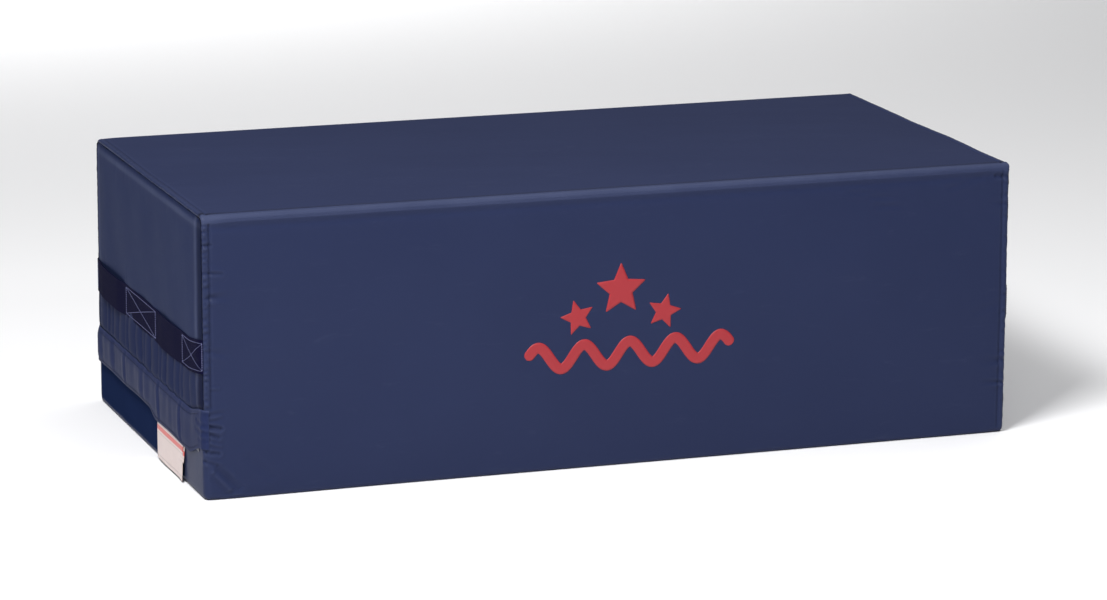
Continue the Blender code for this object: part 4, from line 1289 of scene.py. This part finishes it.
def topstitch(name, left, inset=0.0100):
    """A row of stitches beside the seam, on the wrapped panel."""
    side = -1 if left else 1
    x = side * (X_EDGE - inset)
    lines = []
    z = np.linspace(0.135 if left else 0.014, HZ - 0.013, 200)
    xx = np.full_like(z, x)
    lift = front_lift(xx, z) + creases(xx, z, MARKS)
    lines.append((np.stack([xx, -HY - lift - 0.0001, z], 1), np.tile([[0, -1.0, 0]], (len(z), 1))))
    y = np.linspace(-HY + 0.014, HY - 0.014, 260)
    xx = np.full_like(y, x)
    lift = wrap_lift("top", 0, xx, y, 0 * y + HZ)
    lines.append((np.stack([xx, y, HZ + lift + 0.0001], 1), np.tile([[0, 0, 1.0]], (len(y), 1))))
    z = np.linspace(0.066 if left else 0.014, HZ - 0.013, 200)
    xx = np.full_like(z, x)
    lift = wrap_lift("back", 0, xx, 0 * z, z)
    lines.append((np.stack([xx, HY + lift + 0.0001, z], 1), np.tile([[0, 1.0, 0]], (len(z), 1))))
    return stitch_run(name, lines, 0.00036, 0.0038)


dress(topstitch("left_seam_topstitch", True), M_NAVY_THREAD, "block")
dress(topstitch("right_seam_topstitch", False), M_NAVY_THREAD, "block")

# ------------------------------------------------------------------ webbing
STATION = [WEB0.y, None, None, None, None, None]
boxes = {k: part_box(f"left_webbing_{k}") for k in ("front_sewn", "front_loop", "middle_sewn", "back_loop", "back_sewn")}
Y_FS = (boxes["front_sewn"][0].y, boxes["front_sewn"][1].y)
Y_FL = (boxes["front_loop"][0].y, boxes["front_loop"][1].y)
Y_MS = (boxes["middle_sewn"][0].y, boxes["middle_sewn"][1].y)
Y_BL = (boxes["back_loop"][0].y, boxes["back_loop"][1].y)
Y_BS = (boxes["back_sewn"][0].y, boxes["back_sewn"][1].y)
RISE = boxes["front_loop"][1].x - boxes["front_loop"][0].x - WEB_T
RAMP = 0.045


def loop_rise(y):
    out = np.zeros_like(y)
    for a, b in (Y_FL, Y_BL):
        half, mid = (b - a) / 2, (a + b) / 2
        stand = 0.0020 if b < 0 else 0.0042       # the loops lie slack, close to the panel
        out = np.maximum(out, stand * smooth((half - np.abs(y - mid)) / RAMP))
    return out


def strap_frame(tau, side, left=True):
    """Strap's inner face along its run. tau is Y, and past the flat part it bends round the rim towards the seam."""
    lim = LIM
    over = np.clip((np.abs(tau) - lim) / (RIM_Y * PI / 2), 0, 0.93)
    rho = np.sin(over * PI / 2)
    y = np.sign(tau) * (np.minimum(np.abs(tau), lim) + rho * RIM_Y)
    depth = RIM_A * (1 - np.sqrt(1 - rho ** 2))
    n = np.stack([side * np.sqrt(1 - rho ** 2), np.sign(tau) * rho, np.zeros_like(tau)], 1)
    hold = 0.0003 + 0.0003 * np.sin(tau * 41)
    rise = loop_rise(tau) + hold * 0.5
    c = np.stack([side * (FACE - depth), y, np.zeros_like(tau)], 1) + n * rise[:, None]
    c[:, 2] = WEB_Z + (0.0080 * smooth((-0.235 - tau) / 0.080) if left else 0.0) + 0.0004 * np.sin(tau * 23 + 1)
    return c, n


def strap_piece(name, tau0, tau1, side, left=True):
    count = max(4, int(abs(tau1 - tau0) / 0.0030))
    tau = np.linspace(tau0, tau1, count)
    c, n = strap_frame(tau, side, left)
    w, t = WEB_W / 2, WEB_T
    q = np.linspace(-1, 1, 15)
    edge = np.exp(-((1 - np.abs(q)) / 0.05) ** 2)
    top = [(z * w * (1.0), t * (1.0 + 0.06 * math.exp(-((1 - abs(z)) / 0.07) ** 2) - 0.04 * (1 - z * z))) for z in q]
    sect = [(z, y) for z, y in top]
    sect += [(w + 0.0004, t * 0.72), (w + 0.0004, t * 0.30)]
    sect += [(z * w, 0.0) for z in q[::-1]]
    sect += [(-w - 0.0004, t * 0.30), (-w - 0.0004, t * 0.72)]
    sect = np.array(sect)
    P = c[:, None] + sect[None, :, :1] * np.array([0, 0, 1.0]) + sect[None, :, 1:] * n[:, None]
    m, k = P.shape[:2]
    faces = grid_faces(m, k, close_v=True).tolist()
    faces.append(list(range(k)))
    faces.append([(m - 1) * k + i for i in reversed(range(k))])
    UV = np.zeros((m, k, 2))
    UV[..., 0] = tau[:, None]
    UV[..., 1] = (sect[:, 0] + (sect[:, 1] < t * 0.5) * 0.1)[None, :]
    ob = mesh_object(name, P.reshape(-1, 3), faces, UV.reshape(-1, 2))
    bm = bmesh.new()
    bm.from_mesh(ob.data)
    bmesh.ops.recalc_face_normals(bm, faces=bm.faces)
    for e in bm.edges:
        if e.calc_face_angle(0) > math.radians(50):
            e.smooth = False
    bm.to_mesh(ob.data)
    bm.free()
    return ob


def strap_surface(tau, dz, side, left=True):
    c, n = strap_frame(np.asarray(tau, float), side, left)
    p = c + n * (WEB_T * 1.02)
    p[:, 2] += dz
    return p, n


def make_strap(end, side, left):
    far = LIM + RIM_Y * PI / 2 * (0.93 if left else 0.80)
    fmid, bmid = (Y_FL[0] + Y_FL[1]) / 2, (Y_BL[0] + Y_BL[1]) / 2
    cuts = [("front_sewn", -far, Y_FL[0], None), ("front_loop_near", Y_FL[0], fmid, "front"),
            ("front_loop_far", fmid, Y_FL[1], "front"), ("middle_sewn", Y_FL[1], Y_BL[0], None),
            ("back_loop_near", Y_BL[0], bmid, "back"), ("back_loop_far", bmid, Y_BL[1], "back"),
            ("back_sewn", Y_BL[1], far, None)]
    for part, a, b, loop in cuts:
        ob = strap_piece(f"{end}_strap_{part}", a, b, side, left)
        if loop is None:
            dress(ob, M_WEB, "block", (f"{end}_webbing_{part}",))
            continue
        dress(ob, M_WEB, None, (f"{end}_webbing_{loop}_loop",))
        if part.endswith("near"):
            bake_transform(ob)
        else:
            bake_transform(ob)
    half = WEB_W / 2 - 0.0042
    pad = 0.0022

    def line(t0, z0, t1, z1):
        k = max(3, int(math.hypot(t1 - t0, z1 - z0) / 0.003))
        tau, dz = np.linspace(t0, t1, k), np.linspace(z0, z1, k)
        return strap_surface(tau, dz, side, left)

    def xbox(t0, t1):
        rows = [line(t0, -half, t0, half), line(t0 + 0.0015, half, t0 + 0.0015, -half),
                line(t1, -half, t1, half), line(t1 - 0.0015, half, t1 - 0.0015, -half),
                line(t0, half, t1, half), line(t0, -half, t1, -half),
                line(t0, -half, t1, half), line(t0, half, t1, -half)]
        return rows

    edge = far - 0.0042
    dress(stitch_run(f"{end}_box_stitches_front", xbox(-edge, Y_FL[0] - pad), 0.00044, 0.0034),
          M_THREAD, "block", (f"{end}_box_stitch_front",))
    dress(stitch_run(f"{end}_box_stitches_middle", xbox(Y_FL[1] + pad, Y_BL[0] - pad), 0.00044, 0.0034),
          M_THREAD, "block", (f"{end}_box_stitch_middle",))
    t0 = Y_BL[1] + 0.0030
    dress(stitch_run(f"{end}_bar_stitches_back", [line(t0, -half, t0, half), line(t0 + 0.0016, half, t0 + 0.0016, -half)], 0.00044, 0.0034),
          M_THREAD, "block", (f"{end}_bar_stitch_back",))


make_strap("left", -1, True)
make_strap("right", 1, False)

# ------------------------------------------------------------------ care label
L0, L1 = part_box("care_label")


def make_label(name, y0, y1, length, lag, seed, rows=40, cols=60, z_top=0.0602):
    w = Waves(seed, 0.085, n=6, stretch=(1.0, 0.3))
    ys = np.linspace(y0, y1, cols)
    v = np.linspace(0, 1, rows)
    flare = 0.0014
    X = np.zeros((rows, cols))
    Z = np.zeros((rows, cols))
    x_top = L1.x - 0.0004
    for i, t in enumerate(v):
        out = flare * (t ** 1.35)
        drop = length * (t - 0.004 * t ** 3)
        twist = (0.5 - (ys - y0) / (y1 - y0)) * 0.0012 * t
        X[i] = x_top - lag - out - twist - 0.0007 * w(ys, t * 0.05) * t
        Z[i] = z_top - drop
    # the near corner curls out a little
    curl = np.clip(((y0 + 0.03) - ys) / 0.03, 0, 1) ** 2
    X -= 0.0004 * curl[None, :] * (v[:, None] ** 2)
    X = np.minimum(X, -0.6138)
    Z = np.maximum(Z, 0.0012)
    P = np.stack([X, np.repeat(ys[None, :], rows, 0), Z], -1)
    P[..., 1] += 0.0012 * np.sin(v * 5)[:, None]
    UV = np.stack([np.repeat((ys - y0)[None, :], rows, 0), np.repeat((v * length)[:, None], cols, 1)], -1)
    ob = grid_object(name, P, UV, flip=True)
    m = ob.modifiers.new("thickness", "SOLIDIFY")
    m.thickness, m.offset = 0.00035, 0
    return ob, P


label, label_P = make_label("care_label_cloth", L0.y, L1.y, 0.0575, 0.0, 71)
dress(label, M_LABEL, "care_label", ("care_label",))
leaf, _ = make_label("care_label_back_leaf", L0.y - 0.0060, L0.y + 0.060, 0.0250, -0.0013, 72, rows=20, cols=24, z_top=0.0552)
dress(leaf, M_LABEL, "care_label")
row = label_P[35]
nrm = np.tile([[-0.95, 0, 0.2]], (len(row), 1))
ob = stitch_run("care_label_hem_stitches", [(row + np.array([[-0.0002, 0, 0.0]]), nrm)], 0.00022, 0.0026)
dress(ob, M_LABEL_THREAD, "care_label")

# ------------------------------------------------------------------ printed film on the front
def rounded(points, r, n=5):
    """Closed outline with each corner rounded to radius r."""
    pts = [Vector(p) for p in points]
    out = []
    for i, p in enumerate(pts):
        a, b = pts[i - 1] - p, pts[(i + 1) % len(pts)] - p
        la, lb = a.length, b.length
        a, b = a / la, b / lb
        half = math.acos(max(-1, min(1, a.dot(b)))) / 2
        d = min(r / math.tan(half), la * 0.45, lb * 0.45)
        p0, p1 = p + a * d, p + b * d
        for k in range(n + 1):
            t = k / n
            out.append(((1 - t) ** 2 * p0 + 2 * t * (1 - t) * p + t ** 2 * p1))
    return np.array([(q.x, q.y) for q in out])


def dense(outline, step):
    out = []
    n = len(outline)
    for i in range(n):
        a, b = outline[i], outline[(i + 1) % n]
        k = max(1, int(np.linalg.norm(b - a) / step))
        for q in range(k):
            out.append(a + (b - a) * q / k)
    return np.array(out)


FILM = 0.00028


def film(name, P2, faces, uv):
    """Lays a flat drawing, as x and z pairs, on the crowned front and gives it the thickness of printed film."""
    x, z = P2[:, 0], P2[:, 1]
    lift = front_lift(x, z)
    P = np.stack([x, -HY - lift - 0.00004, z], 1)
    ob = mesh_object(name, P, faces, uv)
    bm = bmesh.new()
    bm.from_mesh(ob.data)
    bmesh.ops.recalc_face_normals(bm, faces=bm.faces)
    if sum(f.normal.y for f in bm.faces) > 0:
        bmesh.ops.reverse_faces(bm, faces=bm.faces)
    bm.to_mesh(ob.data)
    bm.free()
    m = ob.modifiers.new("film", "SOLIDIFY")
    m.thickness, m.offset = FILM, 1
    return ob


def star_film(name, node, tilt, waist=0.46):
    lo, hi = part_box(node)
    cx = (lo.x + hi.x) / 2
    pts = []
    unit = []
    for k in range(10):
        r = 1.0 if k % 2 == 0 else waist
        a = PI / 2 + k * PI / 5 + math.radians(tilt)
        unit.append((r * math.cos(a), r * math.sin(a)))
    u = np.array(unit)
    R = (hi.x - lo.x) / (u[:, 0].max() - u[:, 0].min())
    cz = hi.z - R * u[:, 1].max()
    cx = hi.x - R * u[:, 0].max()
    ring = dense(rounded([tuple(p * R) for p in u], R * 0.035), R * 0.07)
    n = len(ring)
    levels = [1.0, 0.8, 0.6, 0.4, 0.2]
    P2 = np.concatenate([ring * s for s in levels] + [np.zeros((1, 2))], 0)
    faces = []
    for lv in range(len(levels) - 1):
        for i in range(n):
            j = (i + 1) % n
            faces.append((lv * n + i, lv * n + j, (lv + 1) * n + j, (lv + 1) * n + i))
    last = (len(levels) - 1) * n
    for i in range(n):
        faces.append((last + i, last + (i + 1) % n, len(P2) - 1))
    P2 = P2 + np.array([[cx, cz]])
    return film(name, P2, faces, P2.copy())


def wave_film():
    lo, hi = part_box("print_wave")
    band, amp, periods = 0.0160, 0.0165, 4.5
    cx, cz, half = (lo.x + hi.x) / 2, (lo.z + hi.z) / 2, (hi.x - lo.x) / 2
    n, m = 330, 7
    t = np.linspace(0, 1, n)
    x0, x1 = -half + band * 0.42, half - band * 0.42
    xx = x0 + t * (x1 - x0)
    ph = 2 * PI * periods * t
    zz = amp * np.sin(ph)
    slope = amp * 2 * PI * periods / (x1 - x0) * np.cos(ph)
    nn = np.sqrt(1 + slope ** 2)
    normal = np.stack([-slope / nn, 1 / nn], 1)
    tang = np.stack([1 / nn, slope / nn], 1)
    run = np.concatenate([[0], np.cumsum(np.hypot(np.diff(xx), np.diff(zz)))])
    end = band / 2
    # round ends: the ribbon narrows in a half circle
    d = np.minimum(run, run[-1] - run)
    width = np.where(d < end, np.sqrt(np.clip(end ** 2 - (end - d) ** 2, 0, None)), end)
    width = np.maximum(width, 0.0006)
    q = np.linspace(-1, 1, m)
    P = np.stack([xx, zz], 1)[:, None] + normal[:, None] * (width[:, None] * q[None, :])[..., None]
    P = P.reshape(-1, 2) + np.array([[cx, cz]])
    return film("print_wave_film", P, grid_faces(n, m), P.copy())


dress(wave_film(), M_PRINT, "block", ("print_wave",))
dress(star_film("print_star_centre_film", "print_star_centre", 0), M_PRINT, "block", ("print_star_centre",))
dress(star_film("print_star_left_film", "print_star_left", 14), M_PRINT, "block", ("print_star_left",))
dress(star_film("print_star_right_film", "print_star_right", -14), M_PRINT, "block", ("print_star_right",))

# ------------------------------------------------------------------ CAD nodes that stay: foam core and tapes
for name, node in frame["nodes"].items():
    mat = (M_FOAM if name.startswith("foam") else M_HOOK if name == "tuck_hook_tape" else M_LOOP if name == "flap_loop_tape" else None)
    if mat:
        node.data.materials.clear()
        node.data.materials.append(mat)
        if "UVMap" not in node.data.uv_layers:
            node.data.uv_layers.new(name="UVMap")

# ------------------------------------------------------------------ floor, light and background
bpy.ops.mesh.primitive_plane_add(size=14, location=(0, 0, -0.0004))
floor = bpy.context.object
floor.name = "studio_floor"
fm = bpy.data.materials.new("studio_floor")
fm.use_nodes = True
fb = fm.node_tree.nodes["Principled BSDF"]
fb.inputs["Base Color"].default_value = (0.95, 0.95, 0.96, 1)
fb.inputs["Roughness"].default_value = 0.8
fb.inputs["Specular IOR Level"].default_value = 0.1
floor.data.materials.append(fm)

# soft studio room: bright overhead, dim towards the horizon
world = bpy.data.worlds.new("studio")
bpy.context.scene.world = world
world.use_nodes = True
wt = world.node_tree
bg = wt.nodes["Background"]
coord = wt.nodes.new("ShaderNodeTexCoord")
split = wt.nodes.new("ShaderNodeSeparateXYZ")
fade = wt.nodes.new("ShaderNodeValToRGB")
wt.links.new(coord.outputs["Generated"], split.inputs[0])
wt.links.new(split.outputs["Z"], fade.inputs["Fac"])
wt.links.new(fade.outputs["Color"], bg.inputs["Color"])
fade.color_ramp.elements[0].position, fade.color_ramp.elements[0].color = 0.12, (0.06, 0.06, 0.07, 1)
fade.color_ramp.elements[1].position, fade.color_ramp.elements[1].color = 0.90, (1.0, 1.0, 1.0, 1)
bg.inputs["Strength"].default_value = 0.50
# the backdrop past the floor's edge is pale to look at
seen = wt.nodes.new("ShaderNodeLightPath")
pale = wt.nodes.new("ShaderNodeBackground")
pale.inputs["Color"].default_value = (0.84, 0.84, 0.86, 1)
pick = wt.nodes.new("ShaderNodeMixShader")
wt.links.new(seen.outputs["Is Camera Ray"], pick.inputs[0])
wt.links.new(bg.outputs[0], pick.inputs[1])
wt.links.new(pale.outputs[0], pick.inputs[2])
wt.links.new(pick.outputs[0], wt.nodes["World Output"].inputs["Surface"])


def area(name, place, target, size, power, colour=(1, 1, 1)):
    lamp = bpy.data.lights.new(name, "AREA")
    lamp.shape = "RECTANGLE"
    lamp.size, lamp.size_y = size
    lamp.energy = power
    lamp.color = colour
    ob = bpy.data.objects.new(name, lamp)
    bpy.context.scene.collection.objects.link(ob)
    ob.location = place
    ob.rotation_euler = (Vector(target) - Vector(place)).to_track_quat("-Z", "Y").to_euler()
    return ob


area("key_softbox", (-1.9, -2.0, 3.5), (0, 0, 0.2), (1.3, 1.1), 180)
area("top_softbox", (1.2, 0.9, 3.6), (0.3, 0, 0.2), (2.4, 2.0), 20)
area("front_strip", (0.25, -1.7, 1.45), (0.1, -0.3, 0.30), (1.1, 0.25), 7)
back = area("background_softbox", (-0.5, 5.4, 3.2), (-0.5, 5.4, 0), (5.0, 2.6), 75)
back.data.spread = math.radians(90)        # it lights the floor behind, not the block

bpy.context.scene.view_settings.view_transform = "Standard"
bpy.context.scene.view_settings.look = "None"
